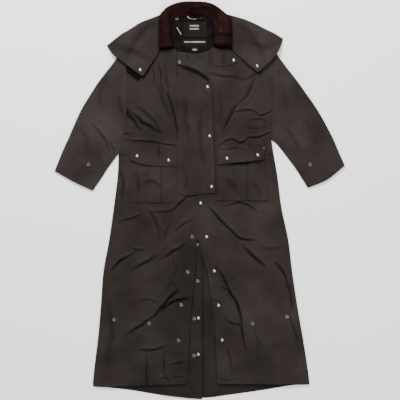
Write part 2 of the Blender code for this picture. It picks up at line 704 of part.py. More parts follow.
def build_neck(parent):
    """What shows inside the neck: the satin lining, three bare labels, a metal bar and the hanger chain."""
    lining_rest = 2 * LAYER
    label_rest = lining_rest + LINING + SEAM_GAP
    lining = outline(
        [(-88, 602), (-60, 610), (0, 613), (44, 608), (66, 598)],
        [(66, 598), (68, 540), (50, 470)],
        [(50, 470), (-74, 470)],
        [(-74, 470), (-102, 540), (-88, 602)],
    )
    sheet("neck_lining", SATIN, lining, lambda x, y: lining_rest + 0 * x, LINING, parent, None)
    LabelRow = namedtuple("LabelRow", "name left right low high")
    for row in [
        LabelRow("neck_label", -52, 22, 540, 590),
        LabelRow("strip_label", -56, 23, 508, 532),
        LabelRow("size_tab", -28, -2, 491, 507),
    ]:
        ring = [(row.left, row.low), (row.right, row.low), (row.right, row.high), (row.left, row.high)]
        sheet(row.name, WOVEN, ring, lambda x, y: label_rest + 0 * x, LABEL, parent, None)
    bar = [(-78, 571), (-74, 573), (-59, 548), (-63, 546)]
    sheet("neck_bar", NICKEL, bar, lambda x, y: label_rest + 0 * x, 2 * LABEL, parent, None)
    links = curve_through([(-40, 608), (-34, 601), (-20, 598), (-4, 600), (14, 603)], 6)
    chain_z = label_rest + CHAIN_DIAMETER / 2
    chain = bpy.data.curves.new("hanger_chain", "CURVE")
    chain.dimensions = "3D"
    chain.bevel_depth = CHAIN_DIAMETER / 2 * 0.001
    chain.bevel_resolution = 1
    chain.use_fill_caps = True
    spline = chain.splines.new("POLY")
    spline.points.add(len(links) - 1)
    for point, link in zip(spline.points, links):
        point.co = (*metres(*link, chain_z), 1.0)
    add_object("hanger_chain", chain, NICKEL, parent)


def surface_of(name):
    """The finished surface of a piece, for seating fittings on it."""
    bpy.context.view_layer.update()
    return BVHTree.FromObject(bpy.data.objects[name], bpy.context.evaluated_depsgraph_get())


def seat(surface, x, y, radius):
    """Where a round fitting rests on a piece of cloth: the place and the tilt that clear what is under it."""
    sky = 90.0
    hits = []
    for reach in (0.0, 0.55 * radius, 0.8 * radius, 1.06 * radius):
        for angle in np.linspace(0, 2 * math.pi, 24, endpoint=False):
            above = metres(x + reach * math.cos(angle), y + reach * math.sin(angle), sky)
            found = surface.ray_cast(Vector(above), Vector((0, 0, -1)))[0]
            if found is not None:
                hits.append((found.x * 1000 - x, found.y * 1000 - y, found.z * 1000))
    hits = np.array(hits)
    tilt_x, tilt_y, _ = np.linalg.lstsq(np.c_[hits[:, :2], np.ones(len(hits))], hits[:, 2], rcond=None)[0]
    clear = (hits[:, 2] - hits[:, 0] * tilt_x - hits[:, 1] * tilt_y).max()
    lift = float(clear) + SEAM_GAP * math.hypot(tilt_x, tilt_y, 1.0)
    return Vector(metres(x, y, lift)), Vector((-tilt_x, -tilt_y, 1.0)).normalized()


def turned(name, profile):
    """A solid turned about Z from (radius, height) rows, from the middle of its foot to that of its top."""
    angles = 2 * math.pi * np.arange(SNAP_SIDES) / SNAP_SIDES
    points, rings = [], []
    for radius, height in profile:
        count = SNAP_SIDES if radius else 1
        rings.append([len(points) + k for k in range(count)])
        points += [(radius * math.cos(a), radius * math.sin(a), height) for a in angles[:count]]
    faces = []
    for low, high in zip(rings, rings[1:]):
        for k in range(SNAP_SIDES):
            n = (k + 1) % SNAP_SIDES
            if len(low) == 1:
                faces.append((low[0], high[n], high[k]))
            elif len(high) == 1:
                faces.append((low[k], low[n], high[0]))
            else:
                faces.append((low[k], low[n], high[n], high[k]))
    return mesh_of(name, points, faces)


def snap(row, surface, parent):
    """A press stud or an eyelet, seated square on its cloth."""
    r = SNAP_DIAMETER / 2
    profiles = {
        "cap": [(0, 0), (r, 0), (r, 1.0), (0.72 * r, 2.2), (0, 2.8)],
        "stud": [(0, 0), (r, 0), (0.9 * r, 1.3), (0.5 * r, 1.3), (0.42 * r, 0.5), (0, 0.5)],
        "eyelet": [(0, 0), (0.45 * r, 0), (0.4 * r, 1.0), (0.2 * r, 1.0), (0, 0.5)],
    }
    profile = profiles[row.kind]
    piece = add_object(row.name, turned(row.name, profile), NICKEL, parent)
    piece.location, normal = seat(surface, row.x, row.y, profile[1][0])
    piece.rotation_mode = "QUATERNION"
    piece.rotation_quaternion = Vector((0, 0, 1)).rotation_difference(normal)


def build_snaps(parent):
    """Every press stud and eyelet."""
    surfaces = {name: surface_of(name) for name in sorted({row.carrier for row in SNAP_ROWS})}
    for row in SNAP_ROWS:
        snap(row, surfaces[row.carrier], parent)


def main():
    for leftover in list(bpy.data.objects):
        bpy.data.objects.remove(leftover)
    coat = bpy.data.objects.new("duster_coat", None)
    bpy.context.scene.collection.objects.link(coat)
    build_backs(coat)
    build_fronts(coat)
    build_closure(coat)
    build_pocket(
        "left",
        left_front_rest,
        [(-228, 160), (-231, -8), (-70, -8), (-74, 160)],
        [(-232, 186), (-230, 132), (-180, 118), (-110, 113), (-71.5, 112), (-74, 174), (-130, 186)],
        coat,
    )
    build_pocket(
        "right",
        right_front_rest,
        [(60, 160), (56, 0), (224, 0), (214, 160)],
        [(59, 178), (58, 119), (106, 124), (156, 128), (212, 135), (217, 178), (140, 183)],
        coat,
    )
    build_cape(coat)
    sleeve("sleeve_left", LEFT_SLEEVE, coat)
    sleeve("sleeve_right", RIGHT_SLEEVE, coat)
    collar(coat)
    build_neck(coat)
    build_snaps(coat)


main()
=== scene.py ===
import math
from collections import namedtuple

import bpy
import numpy as np
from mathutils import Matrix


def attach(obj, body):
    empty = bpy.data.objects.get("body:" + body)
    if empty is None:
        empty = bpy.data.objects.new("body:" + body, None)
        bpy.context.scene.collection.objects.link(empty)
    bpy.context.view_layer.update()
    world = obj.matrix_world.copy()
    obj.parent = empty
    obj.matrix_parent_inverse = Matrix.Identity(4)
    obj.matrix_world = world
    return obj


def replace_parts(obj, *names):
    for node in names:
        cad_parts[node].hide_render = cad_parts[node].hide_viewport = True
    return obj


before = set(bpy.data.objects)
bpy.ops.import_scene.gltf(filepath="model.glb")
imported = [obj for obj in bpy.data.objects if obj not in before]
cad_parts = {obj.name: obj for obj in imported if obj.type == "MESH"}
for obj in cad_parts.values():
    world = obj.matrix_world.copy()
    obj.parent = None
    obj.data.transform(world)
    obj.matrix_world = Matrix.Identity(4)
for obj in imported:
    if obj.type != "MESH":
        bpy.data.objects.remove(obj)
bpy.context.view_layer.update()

# The backs are two panels of brown waxed cotton that lie on the floor with their inside up. They are sewn
# together down the centre as far as the vent, and below it the left skirt laps over the right one. Only their
# hem and the strip between the open fronts show.
CLOTH = 1.5
LAYER = CLOTH + 0.3
WAX_DARK = (0.0112, 0.0078, 0.0071)
WAX_LIGHT = (0.0226, 0.0178, 0.0156)
CAPE_LOW, CAPE_RISE, CAPE_HALF_SPAN = 292.0, 216.0, 300.0
LIFT_BELOW, LIFT_RUN = 117.0, 70.0
COARSE, FINE = 9.0, 3.6

SideRow = namedtuple("SideRow", "y left right")
SIDES = [
    (-606, -353, 362),
    (-553, -348, 356),
    (-447, -335, 339),
    (-342, -326, 321),
    (-236, -318, 305),
    (-130, -299, 292),
    (-25, -284, 270),
    (81, -271, 256),
    (156, -268, 243),
]
LEFT_SIDE = [(row.left, row.y) for row in map(SideRow._make, SIDES)]
RIGHT_SIDE = [(row.right, row.y) for row in map(SideRow._make, SIDES)]
LEFT_ARMHOLE = [(-268, 156), (-243, 282), (-240, 397), (-248, 507)]
RIGHT_ARMHOLE = [(236, 200), (240, 332), (243, 464), (238, 507)]


def curve(points, spacing=6.0):
    """A smooth curve through points: between two of them it is a cubic whose end slopes are half the chord of
    the points on either side."""
    points = np.array(points, float)
    if len(points) < 3:
        return points
    padded = np.concatenate([[2 * points[0] - points[1]], points, [2 * points[-1] - points[-2]]])
    runs = []
    for before, here, there, after in zip(padded, padded[1:], padded[2:], padded[3:]):
        t = np.linspace(0, 1, max(2, round(math.dist(here, there) / spacing)), endpoint=False)[:, None]
        bend = before - 2.5 * here + 2 * there - after / 2
        twist = (3 * here - before - 3 * there + after) / 2
        runs.append(here + (there - before) / 2 * t + bend * t**2 + twist * t**3)
    return np.concatenate([*runs, points[-1:]])


def path(*stretches):
    """Smooth stretches with corners between them. Where one starts away from the end of the last, a straight
    line joins them, and a stretch may be one point."""
    joined = curve(stretches[0])
    for stretch in map(curve, stretches[1:]):
        meets = np.array_equal(stretch[0], joined[-1])
        joined = np.concatenate([joined, stretch[1:] if meets else stretch])
    return joined


def shift(line, dx):
    """A line moved in x."""
    return np.array(line, float) + (dx, 0)


def reach(line):
    """The length along a line up to each of its points."""
    return np.concatenate([[0.0], np.cumsum(np.linalg.norm(np.diff(line, axis=0), axis=1))])


def at_shares(line, shares):
    """The points at shares of a line's length."""
    along = reach(line)
    return np.stack([np.interp(shares * along[-1], along, line[:, k]) for k in range(line.shape[1])], -1)


def spread(length, step, rim=(0.0, 1.2, 3.0, 6.0)):
    """Shares of a length: close together at both ends, for the rounded edges, and evenly spaced between."""
    rim = np.array(rim)
    middle = np.linspace(rim[-1], length - rim[-1], max(2, round((length - 2 * rim[-1]) / step)))
    return np.concatenate([rim[:-1], middle, (length - rim[:-1])[::-1]]) / length


def patch(bottom, top, left, right, step):
    """A Coons patch: the two rulings between facing sides, less the bilinear one between the corners. The
    bottom and the top run to the right, and the sides run up."""
    u = spread(max(reach(bottom)[-1], reach(top)[-1]), step)
    v = spread(max(reach(left)[-1], reach(right)[-1]), step)
    b, t = at_shares(bottom, u)[None], at_shares(top, u)[None]
    l, r = at_shares(left, v)[:, None], at_shares(right, v)[:, None]
    u, v = u[None, :, None], v[:, None, None]
    low = (1 - u) * l[:1] + u * r[:1]
    high = (1 - u) * l[-1:] + u * r[-1:]
    flat = (1 - v) * b + v * t + (1 - u) * l + u * r - (1 - v) * low - v * high
    return flat[..., 0], flat[..., 1]


def smooth(value, start, end):
    """0 before start, 1 after end, and a cubic rise between."""
    t = np.clip((value - start) / (end - start), 0.0, 1.0)
    return t * t * (3.0 - 2.0 * t)


def bell(value, width, power=2):
    """1 at 0, falling away on both sides: e to minus a power of the value over the width."""
    return np.exp(-((value / width) ** power))


def cape_back_edge(x):
    """The lower edge of the cape's back, a parabola."""
    return CAPE_LOW + CAPE_RISE * (x / CAPE_HALF_SPAN) ** 2


def cape_lift(x, y):
    """The back of the cape lifts what lies on it by one layer, above its lower edge."""
    full = cape_back_edge(x) - LIFT_BELOW
    return LAYER * smooth(y, full - LIFT_RUN, full)


def vent_lift(x, y):
    """The left skirt rises by one layer where it laps over the right one."""
    return LAYER * smooth(x, -155, -110) * (1 - smooth(y, -52, 8))


Crease = namedtuple("Crease", "start middle end width height")


def creases(rows, x, y):
    """The height and the tone, at (x, y), of creases whose columns Crease names. Each follows a parabola
    through its three points, bent by small waves, as a bell-shaped ridge on its left and a narrower trough on
    its right, and fades at its ends. Its tone is painted light: a painted highlight along the ridge and
    painted shade in the trough."""
    sway = 1.3 + 0.9 * np.sin(x / 37 - y / 53)
    x, y = x + sway * np.sin(y / 9 + 3 * np.sin(x / 31)), y + sway * np.sin(x / 11 + 3 * np.sin(y / 27))
    height, tone = np.zeros(x.shape), np.zeros(x.shape)
    t = np.linspace(0, 1, 15)[:, None]
    for row in map(Crease._make, rows):
        a, m, b = (np.array(p, float) for p in (row.start, row.middle, row.end))
        line = (1 - t) ** 2 * a + 2 * t * (1 - t) * (2 * m - (a + b) / 2) + t**2 * b
        far = 3.2 * row.width
        low, high = line.min(axis=0) - far, line.max(axis=0) + far
        near = (x > low[0]) & (x < high[0]) & (y > low[1]) & (y < high[1])
        if not near.any():
            continue
        here = np.stack([x[near], y[near]], -1)[:, None]
        run = np.diff(line, axis=0)
        share = np.clip(((here - line[:-1]) * run).sum(-1) / (run**2).sum(-1), 0, 1)
        off = here - line[:-1] - share[..., None] * run
        distance = np.hypot(off[..., 0], off[..., 1])
        pick = distance.argmin(axis=1)
        each = np.arange(len(pick))
        off, run = off[each, pick], run[pick]
        across = distance[each, pick] * np.sign(run[:, 0] * off[:, 1] - run[:, 1] * off[:, 0]) / row.width
        along = (pick + share[each, pick]) / len(line[1:])
        fade = np.sin(np.pi * (0.08 + 0.84 * along)) ** 0.7
        rise = 0.8 * np.exp(-((across - 0.8) ** 2) * 1.2) - 0.75 * np.exp(-((across + 0.45) ** 2) * 3.2)
        # The tone: a painted highlight along the ridge, and painted shade in the trough.
        painted_light = 0.12 * np.exp(-((across - 0.9) ** 2) * 3) - 0.85 * np.exp(-((across + 0.2) ** 2) * 3.5)
        height[near] += row.height * fade * rise
        tone[near] += min(1.0, row.height / 6) * fade * painted_light
    return height, tone


def beside(x, y, line, width):
    """How near (x, y) is to a line: a bell curve of the distance from it, 1 on it. It masks the painted shade
    beside the edges of sheets that lie on the cloth, and a few painted lightenings."""
    points = np.array(line, float)
    best = np.full(x.shape, 1e6)
    for a, b in zip(points, points[1:]):
        run = b - a
        share = np.clip(((x - a[0]) * run[0] + (y - a[1]) * run[1]) / (run @ run), 0, 1)
        best = np.minimum(best, np.hypot(x - a[0] - share * run[0], y - a[1] - share * run[1]))
    return bell(best, width)


def crumple(x, y):
    """The cloth's unevenness: waves of many lengths and directions, each bent by a slower one."""
    bent_x, bent_y = x + 14 * np.sin(y / 53 + 1), y + 17 * np.sin(x / 61)
    total = np.zeros(np.shape(x))
    for k, (length, turn) in enumerate([(104, 0.4), (83, 1.9), (61, 2.8), (47, 1.1), (36, 0.1), (28, 2.3)]):
        wave = (bent_x * math.cos(turn) + bent_y * math.sin(turn)) * 2 * math.pi / length
        total = total + length / 210 * np.sin(wave + 2.1 * k) * np.sin(wave * 0.37 + k)
    return total


def material(
    name, dark, light, roughness,
    gloss=0.05, metallic=0.0, patches=7.0, grain=0.0, grain_size=700.0, kinks=0.0,
):
    """A Principled finish. Its colour wanders between two values with a soft noise in Object coordinates and
    is multiplied by the mesh's tone, which holds painted shade and painted highlights, as its gloss is up to
    a limit, so that painted shade dulls the sheen as well. Two finer noises lift its grain and its kinks as
    bumps."""
    made = bpy.data.materials.new(name)
    made.use_nodes = True
    nodes, links = made.node_tree.nodes, made.node_tree.links

    def add(kind, values):
        """A node of a kind, with the values of its sockets."""
        node = nodes.new("ShaderNode" + kind)
        for socket, value in values.items():
            node.inputs[socket].default_value = value
        return node

    shader = nodes["Principled BSDF"]
    shader.inputs["Roughness"].default_value = roughness
    shader.inputs["Metallic"].default_value = metallic
    place, tone, scale = add("TexCoord", {}), add("Attribute", {}), add("VectorMath", {})
    noise = add("TexNoise", {"Scale": patches, "Detail": 6.0, "Roughness": 0.6})
    widen = add("MapRange", {"From Min": 0.33, "From Max": 0.67})
    blend, dull, held = add("Mix", {}), add("Math", {1: gloss}), add("Math", {1: 1.2 * gloss})
    tone.attribute_name = "tone"
    scale.operation, dull.operation, held.operation = "SCALE", "MULTIPLY", "MINIMUM"
    blend.data_type = "RGBA"
    blend.inputs[6].default_value = (*dark, 1.0)
    blend.inputs[7].default_value = (*light, 1.0)
    wires = [
        (place, "Object", noise, "Vector"),
        (noise, "Fac", widen, "Value"),
        (widen, "Result", blend, 0),
        (blend, 2, scale, 0),
        (tone, "Fac", scale, "Scale"),
        (scale, "Vector", shader, "Base Color"),
        (tone, "Fac", dull, 0),
        (dull, "Value", held, 0),
        (held, "Value", shader, "Specular IOR Level"),
    ]
    lifted = None
    for strength, size, depth, twist in ((grain, grain_size, 0.001, 0.0), (kinks, 24.0, 0.012, 1.6)):
        if strength:
            fine = add("TexNoise", {"Scale": size, "Detail": 3.0, "Distortion": twist})
            bump = add("Bump", {"Strength": strength, "Distance": depth})
            wires += [(place, "Object", fine, "Vector"), (fine, "Fac", bump, "Height")]
            wires += [(lifted, "Normal", bump, "Normal")] if lifted else []
            lifted = bump
    wires += [(lifted, "Normal", shader, "Normal")] if lifted else []
    for source, out, target, socket in wires:
        links.new(source.outputs[out], target.inputs[socket])
    return made


def show(name, data):
    """A new object of the scene, with its mesh, lamp or camera."""
    made = bpy.data.objects.new(name, data)
    bpy.context.scene.collection.objects.link(made)
    return made


def piece(name, points, faces, finish, tone=1.0):
    """An object of the coat from points in millimetres and lists of equal-sided faces."""
    mesh = bpy.data.meshes.new(name)
    mesh.vertices.add(len(points))
    mesh.vertices.foreach_set("co", (points * 0.001).ravel())
    sides = np.concatenate([np.full(len(part), part.shape[1]) for part in faces])
    mesh.loops.add(int(sides.sum()))
    mesh.loops.foreach_set("vertex_index", np.concatenate([part.ravel() for part in faces]))
    mesh.polygons.add(len(sides))
    mesh.polygons.foreach_set("loop_start", np.concatenate([[0], np.cumsum(sides)[:-1]]))
    mesh.update(calc_edges=True)
    mesh.shade_smooth()
    mesh.set_sharp_from_angle(angle=math.radians(55))
    values = mesh.attributes.new("tone", "FLOAT", "POINT")
    values.data.foreach_set("value", (tone + np.zeros(len(points))).astype(np.float32))
    mesh.materials.append(finish)
    made = show(name, mesh)
    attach(made, "root")
    return made


def grid_faces(rows, columns):
    """The quads of a grid, anticlockwise, and its rim as a closed run of corners."""
    index = np.arange(rows * columns).reshape(rows, columns)
    quads = np.stack([index[:-1, :-1], index[:-1, 1:], index[1:, 1:], index[1:, :-1]], -1).reshape(-1, 4)
    rim = np.concatenate([index[0, :-1], index[:-1, -1], index[-1, :0:-1], index[:0:-1, 0]])
    return quads, rim


def wall(under, over):
    """The points and faces of a closed wall between two grids: their quads, and a strip round the rim."""
    quads, rim = grid_faces(*over.shape[:2])
    count = over.shape[0] * over.shape[1]
    after = np.roll(rim, -1)
    strip = np.stack([rim, rim + count, after + count, after], -1)
    points = np.concatenate([over.reshape(-1, 3), under.reshape(-1, 3)])
    return points, [np.concatenate([quads, quads[:, ::-1] + count, strip])]


waxed = material("waxed_cotton_brown", WAX_DARK, WAX_LIGHT, 0.6, grain=0.25, kinks=0.2)


def cloth(name, node, x, y, top, tone, finish=waxed, slot="waxed_cotton", thickness=CLOTH, round_edge=0.5):
    """A sheet of cloth whose upper face is at the height top. Its edge is rounded: the face drops by
    round_edge in the last 2 mm."""
    rows, columns = x.shape
    edge = np.full((rows, columns), 9.0)
    for row, far in ((0, 0.0), (1, 1.2)):
        edge[row], edge[-1 - row] = np.minimum(edge[row], far), np.minimum(edge[-1 - row], far)
        edge[:, row], edge[:, -1 - row] = np.minimum(edge[:, row], far), np.minimum(edge[:, -1 - row], far)
    over = np.stack([x, y, top - round_edge * bell(edge, 0.9)], -1)
    under = np.stack([x, y, top - thickness], -1)
    points, faces = wall(under, over)
    tone = np.maximum(1 + tone + np.zeros(x.shape), 0.25).ravel()
    made = piece(name, points, faces, finish, np.concatenate([tone, tone]))
    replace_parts(made, node)
    return made


def inset(line, distance):
    """A line moved sideways, to its left where the distance is positive."""
    run = np.gradient(line, axis=0)
    run = run / np.linalg.norm(run, axis=1)[:, None]
    return line + distance * np.stack([-run[:, 1], run[:, 0]], -1)


thread = material("thread", (0.016, 0.012, 0.010), (0.024, 0.019, 0.016), 0.6)


def sew(name, lines, top, finish=thread, pitch=3.6, length=2.5, width=0.55):
    """Rows of stitches: each is a four-sided spindle that lies along its line, half sunk in the cloth."""
    ends = []
    for line in lines:
        total = reach(line)[-1]
        middle = np.arange(pitch, total - pitch, pitch)[:, None] + np.array([-0.5, 0.0, 0.5]) * length
        ends.append(at_shares(line, middle.ravel() / total).reshape(-1, 3, 2))
    flat = np.concatenate(ends)
    run = flat[:, 2:] - flat[:, :1]
    run = run / np.linalg.norm(run, axis=-1, keepdims=True)
    side = np.stack([-run[..., 1], run[..., 0]], -1) * np.array([0.25, 1.0, 0.25])[:, None] * width / 2
    z = top(flat[..., 0], flat[..., 1]) + np.array([-0.1, 0.12, -0.1])
    rise = np.array([0.1, 0.3, 0.1]) + 0 * z
    corners = [(flat + side, z), (flat, z + rise), (flat - side, z), (flat, z - rise)]
    points = np.stack([np.concatenate([p, h[..., None]], -1) for p, h in corners], 2).reshape(-1, 3)
    k = np.arange(4)
    ring = np.stack([k, (k + 1) % 4, (k + 1) % 4 + 4, k + 4], -1)
    one = np.concatenate([ring, ring + 4, [[3, 2, 1, 0]], [[8, 9, 10, 11]]])
    faces = (np.arange(len(flat))[:, None, None] * 12 + one).reshape(-1, 4)
    return piece(name, points, [faces], finish)


# The inside's colours are darkened here as painted shade, where the backs show between the open fronts.
INSIDE_SHADE = 0.9
inside_dark, inside_light = (tuple(INSIDE_SHADE * v for v in wax) for wax in (WAX_DARK, WAX_LIGHT))
waxed_inside_shaded = material("waxed_cotton_inside_shaded", inside_dark, inside_light, 0.6, grain=0.3, kinks=0.2)

OPENING_LEFT = [(-41, -603), (-34, -444), (-27, -345), (-16, -236), (-11, -145), (-4, -126)]
OPENING_RIGHT = [(58, -606), (53, -477), (47, -394), (39, -328), (24, -236), (8, -183), (-4.5, -130)]
BACK_CREASES = [
    ((-16, -200), (-22, -300), (-30, -380), 8, 1.2),
    ((30, -330), (34, -420), (26, -520), 9, 1.2),
    ((-30, -560), (-22, -600), (-34, -640), 8, 1.2),
    ((40, -640), (90, -622), (160, -620), 9, 1.4),
    ((-180, -626), (-120, -628), (-60, -634), 9, 1.2),
]


def back_right_top(x, y):
    """The inside face of the right back panel."""
    return cape_lift(x, y) + CLOTH


def back_left_top(x, y):
    """The inside face of the left back panel, over the right one at the vent, with its creases."""
    bend = np.maximum(0, creases(BACK_CREASES, x, y)[0]) * smooth(x, -60, -30)
    return cape_lift(x, y) + vent_lift(x, y) + CLOTH + bend


def shade_under_fronts(x, y):
    """Painted shade on the backs beside the fronts' lower edges and the left opening's edge, and a little
    painted shade over all of them.
    """
    hems = beside(x, y, [(-353, -610), OPENING_LEFT[0]], 5) + beside(x, y, [OPENING_RIGHT[0], (361, -610)], 5)
    return 0.4 * hems + 0.35 * beside(x, y, OPENING_LEFT, 4) + 0.08


back_left_hem = path(
    [(-348, -612), (-296, -618), (-230, -625), (-164, -636), (-98, -646), (-33, -653), (7, -656)]
)
back_left_edge = path([(7, -656)], [(7, -157)], [(-0.5, -130)], [(-0.5, 614)])
back_right_hem = path(
    [(-32, -653), (33, -650), (82, -643), (149, -634), (215, -624), (281, -613), (356, -603)]
)
back_right_edge = path([(-32, -653)], [(-32, -142)], [(0, -118)], [(0, 614)])
x, y = patch(
    back_left_hem,
    path([(-240, 516)], [(-96, 600), (-62, 611), (-0.5, 614)]),
    shift(path([(-351, -612)], LEFT_SIDE, LEFT_ARMHOLE, [(-243, 516)]), 3),
    back_left_edge,
    COARSE,
)
tone = creases(BACK_CREASES, x, y)[1] - shade_under_fronts(x, y)
cloth("back_left_panel", "back_left", x, y, back_left_top(x, y), tone, waxed_inside_shaded)
x, y = patch(
    back_right_hem,
    path([(0, 614), (46, 609), (84, 594)], [(230, 516)]),
    back_right_edge,
    shift(path(RIGHT_SIDE, RIGHT_ARMHOLE, [(233, 516)]), -3),
    COARSE,
)
# Painted shade on the right back along the left skirt's vent edge.
tone = creases(BACK_CREASES, x, y)[1] - shade_under_fronts(x, y) - 0.45 * beside(x, y, [(8, -656), (8, -157)], 4)
cloth("back_right_panel", "back_right", x, y, back_right_top(x, y), tone, waxed_inside_shaded)
sew(
    "back_stitching",
    [inset(back_left_hem, 14), inset(back_left_edge[:90], 6), inset(back_left_edge[:90], 22)],
    back_left_top,
)
sew("back_hem_stitching", [inset(back_right_hem, 14)], back_right_top)

# The fronts are the two large panels of waxed cotton that lie on the backs. They are lapped at the waist and
# spread below it. Soft lofts, long drag lines and short kinks cross them, all died away at the side seams.
FRONT_LOFT = 4.0
SIDE_ROLL = 45.0
FRONT_CREASES = [
    ((35, 506), (37, 475), (36, 446), 13, 2.2),
    ((80, 502), (81, 470), (80, 442), 12, 2.2),
    ((-40, 492), (-38, 474), (-40, 458), 9, 1.6),
    ((-233, 299), (-187, 259), (-134, 229), 10, 5.0),
    ((-240, 292), (-220, 269), (-197, 239), 7, 5.5),
    ((-200, 305), (-161, 276), (-128, 226), 7, 3.2),
    ((-105, 351), (-82, 279), (-68, 193), 8, 4.2),
    ((-148, 457), (-151, 424), (-148, 384), 5, 2.6),
    ((-131, 457), (-128, 411), (-121, 355), 6, 3.0),
    ((-111, 450), (-108, 398), (-95, 325), 6, 2.0),
    ((-138, 384), (-121, 338), (-98, 279), 12, 2.2),
    ((-253, 338), (-243, 305), (-237, 276), 8, 3.0),
    ((-266, 223), (-250, 219), (-230, 223), 6, 2.4),
    ((-240, 200), (-187, 196), (-134, 193), 5, 3.4),
    ((-138, 190), (-105, 183), (-72, 186), 5, 3.0),
    ((-250, 434), (-224, 417), (-200, 398), 8, 5.0),
    ((31, 421), (80, 411), (136, 404), 6, 3.0),
    ((133, 398), (166, 408), (189, 424), 7, 2.0),
    ((182, 408), (159, 351), (116, 305), 8, 4.2),
    ((120, 312), (97, 269), (77, 226), 8, 5.0),
    ((120, 295), (163, 299), (192, 289), 5, 4.0),
    ((189, 285), (212, 282), (235, 299), 5, 3.6),
    ((166, 266), (189, 269), (215, 262), 5, 2.8),
    ((146, 246), (179, 239), (219, 246), 6, 1.8),
    ((64, 183), (93, 200), (123, 203), 5, 3.6),
    ((113, 203), (136, 193), (163, 206), 5, 4.6),
    ((159, 206), (196, 213), (235, 223), 5, 4.8),
    ((70, 170), (103, 170), (136, 180), 5, 2.6),
    ((64, 358), (73, 318), (67, 266), 9, 1.8),
    ((-263, 101), (-250, 54), (-263, -5), 9, 3.4),
    ((-85, -28), (-65, -8), (-42, 15), 6, 4.4),
    ((-158, -35), (-121, -38), (-82, -28), 6, 3.2),
    ((-266, -71), (-230, -58), (-194, -48), 6, 3.4),
    ((-167, -31), (-144, -68), (-131, -117), 8, 2.8),
    ((-118, -134), (-111, -101), (-98, -71), 5, 2.8),
    ((-78, -97), (-55, -78), (-29, -64), 5, 2.8),
    ((-227, -153), (-204, -163), (-181, -160), 5, 3.6),
    ((-293, -229), (-263, -200), (-224, -177), 7, 5.2),
    ((-224, -229), (-184, -206), (-144, -183), 9, 4.0),
    ((-118, -186), (-88, -167), (-52, -144), 7, 4.6),
    ((-105, -266), (-85, -223), (-95, -183), 5, 2.6),
    ((-111, -295), (-85, -252), (-72, -203), 5, 2.4),
    ((-148, -378), (-115, -338), (-75, -295), 8, 6.4),
    ((-128, -368), (-92, -335), (-32, -318), 7, 5.4),
    ((-240, -441), (-194, -411), (-144, -371), 7, 4.2),
    ((-197, -332), (-171, -328), (-138, -338), 6, 2.2),
    ((-200, -490), (-161, -493), (-115, -480), 6, 4.2),
    ((-174, -513), (-174, -559), (-174, -609), 6, 3.6),
    ((-111, -493), (-118, -546), (-105, -596), 5, 3.2),
    ((-134, -596), (-118, -582), (-105, -589), 4, 2.4),
    ((-92, -507), (-72, -500), (-45, -507), 4, 2.2),
    ((-95, -540), (-72, -536), (-42, -540), 5, 3.0),
    ((-95, -589), (-65, -582), (-35, -589), 4, 2.6),
    ((-78, -335), (-55, -328), (-26, -328), 5, 2.6),
    ((-303, -328), (-286, -427), (-303, -533), 18, 2.0),
    ((27, -328), (47, -328), (67, -332), 5, 2.6),
    ((34, -21), (73, -68), (113, -104), 7, 5.6),
    ((103, -97), (136, -124), (179, -130), 6, 5.4),
    ((83, -18), (139, -8), (189, -35), 6, 4.2),
    ((205, -150), (235, -160), (268, -150), 7, 2.0),
    ((146, -153), (179, -183), (219, -219), 7, 5.4),
    ((60, -223), (87, -269), (103, -309), 8, 4.4),
    ((80, -289), (123, -338), (143, -427), 8, 6.2),
    ((133, -401), (143, -447), (153, -493), 6, 4.2),
    ((87, -388), (106, -404), (136, -408), 6, 3.6),
    ((252, -206), (278, -239), (295, -289), 8, 5.0),
    ((291, -282), (304, -325), (301, -371), 8, 4.4),
    ((298, -388), (314, -427), (324, -474), 8, 3.0),
    ((93, -487), (100, -520), (110, -563), 5, 3.0),
    ((179, -427), (196, -474), (186, -526), 14, 1.8),
    ((50, -573), (83, -589), (123, -592), 5, 2.0),
]


FLY_LEFT = [(-64, 18), (-70, 118), (-72, 444)]
FLY_RIGHT = [(52, 25), (47, 167), (41, 332), (38, 384)]
FLY_FOOT = [(-64, 18), (-39, 15), (1, 21), (52, 25)]
CAPE_LEFT_EDGE = [(-307, 511), (-293, 490), (-280, 476), (-240, 446), (-196, 414), (-187, 411)]
CAPE_LEFT_FRONT = [(-187, 411), (-160, 452), (-133, 494), (-122, 540), (-122, 602)]
CAPE_RIGHT_EDGE = [(192, 423), (224, 450), (252, 480), (267, 508), (275, 534)]
CAPE_RIGHT_FRONT = [(192, 423), (148, 460), (108, 498), (94, 540), (86, 600)]
FLY_SEAM = [*FLY_LEFT, (-73.6, 492)]
# Painted shade beside the edges of the sheets that lie on the fronts, and a painted shadow under the left
# cape's corner: each line with its width and its depth.
PAINTED_SHADE_LINES = [
    (FLY_RIGHT, 5.0, 0.35),
    (FLY_FOOT[1:], 4.5, 0.5),
    (CAPE_LEFT_EDGE, 5.0, 0.5),
    (CAPE_LEFT_FRONT, 5.0, 0.7),
    (CAPE_RIGHT_EDGE, 5.0, 0.5),
    (CAPE_RIGHT_FRONT, 5.0, 0.7),
    ([(-238, 434), (-204, 406)], 9.0, 1.0),
    ([(56, -2), (224, -2)], 4.0, 0.3),
]


def x_on(line, y):
    """The x, at a height y of the picture, of a line that runs up."""
    along, heights = np.array(line, float).T
    return np.interp(y, heights, along)


def y_on(line, x):
    """The y, at x, of a line that runs to the right."""
    return np.interp(x, *np.array(line, float).T)


def inside_sides(x, y):
    """How far inside the side seams a point is."""
    return np.minimum(x - x_on(LEFT_SIDE, y), x_on(RIGHT_SIDE, y) - x)


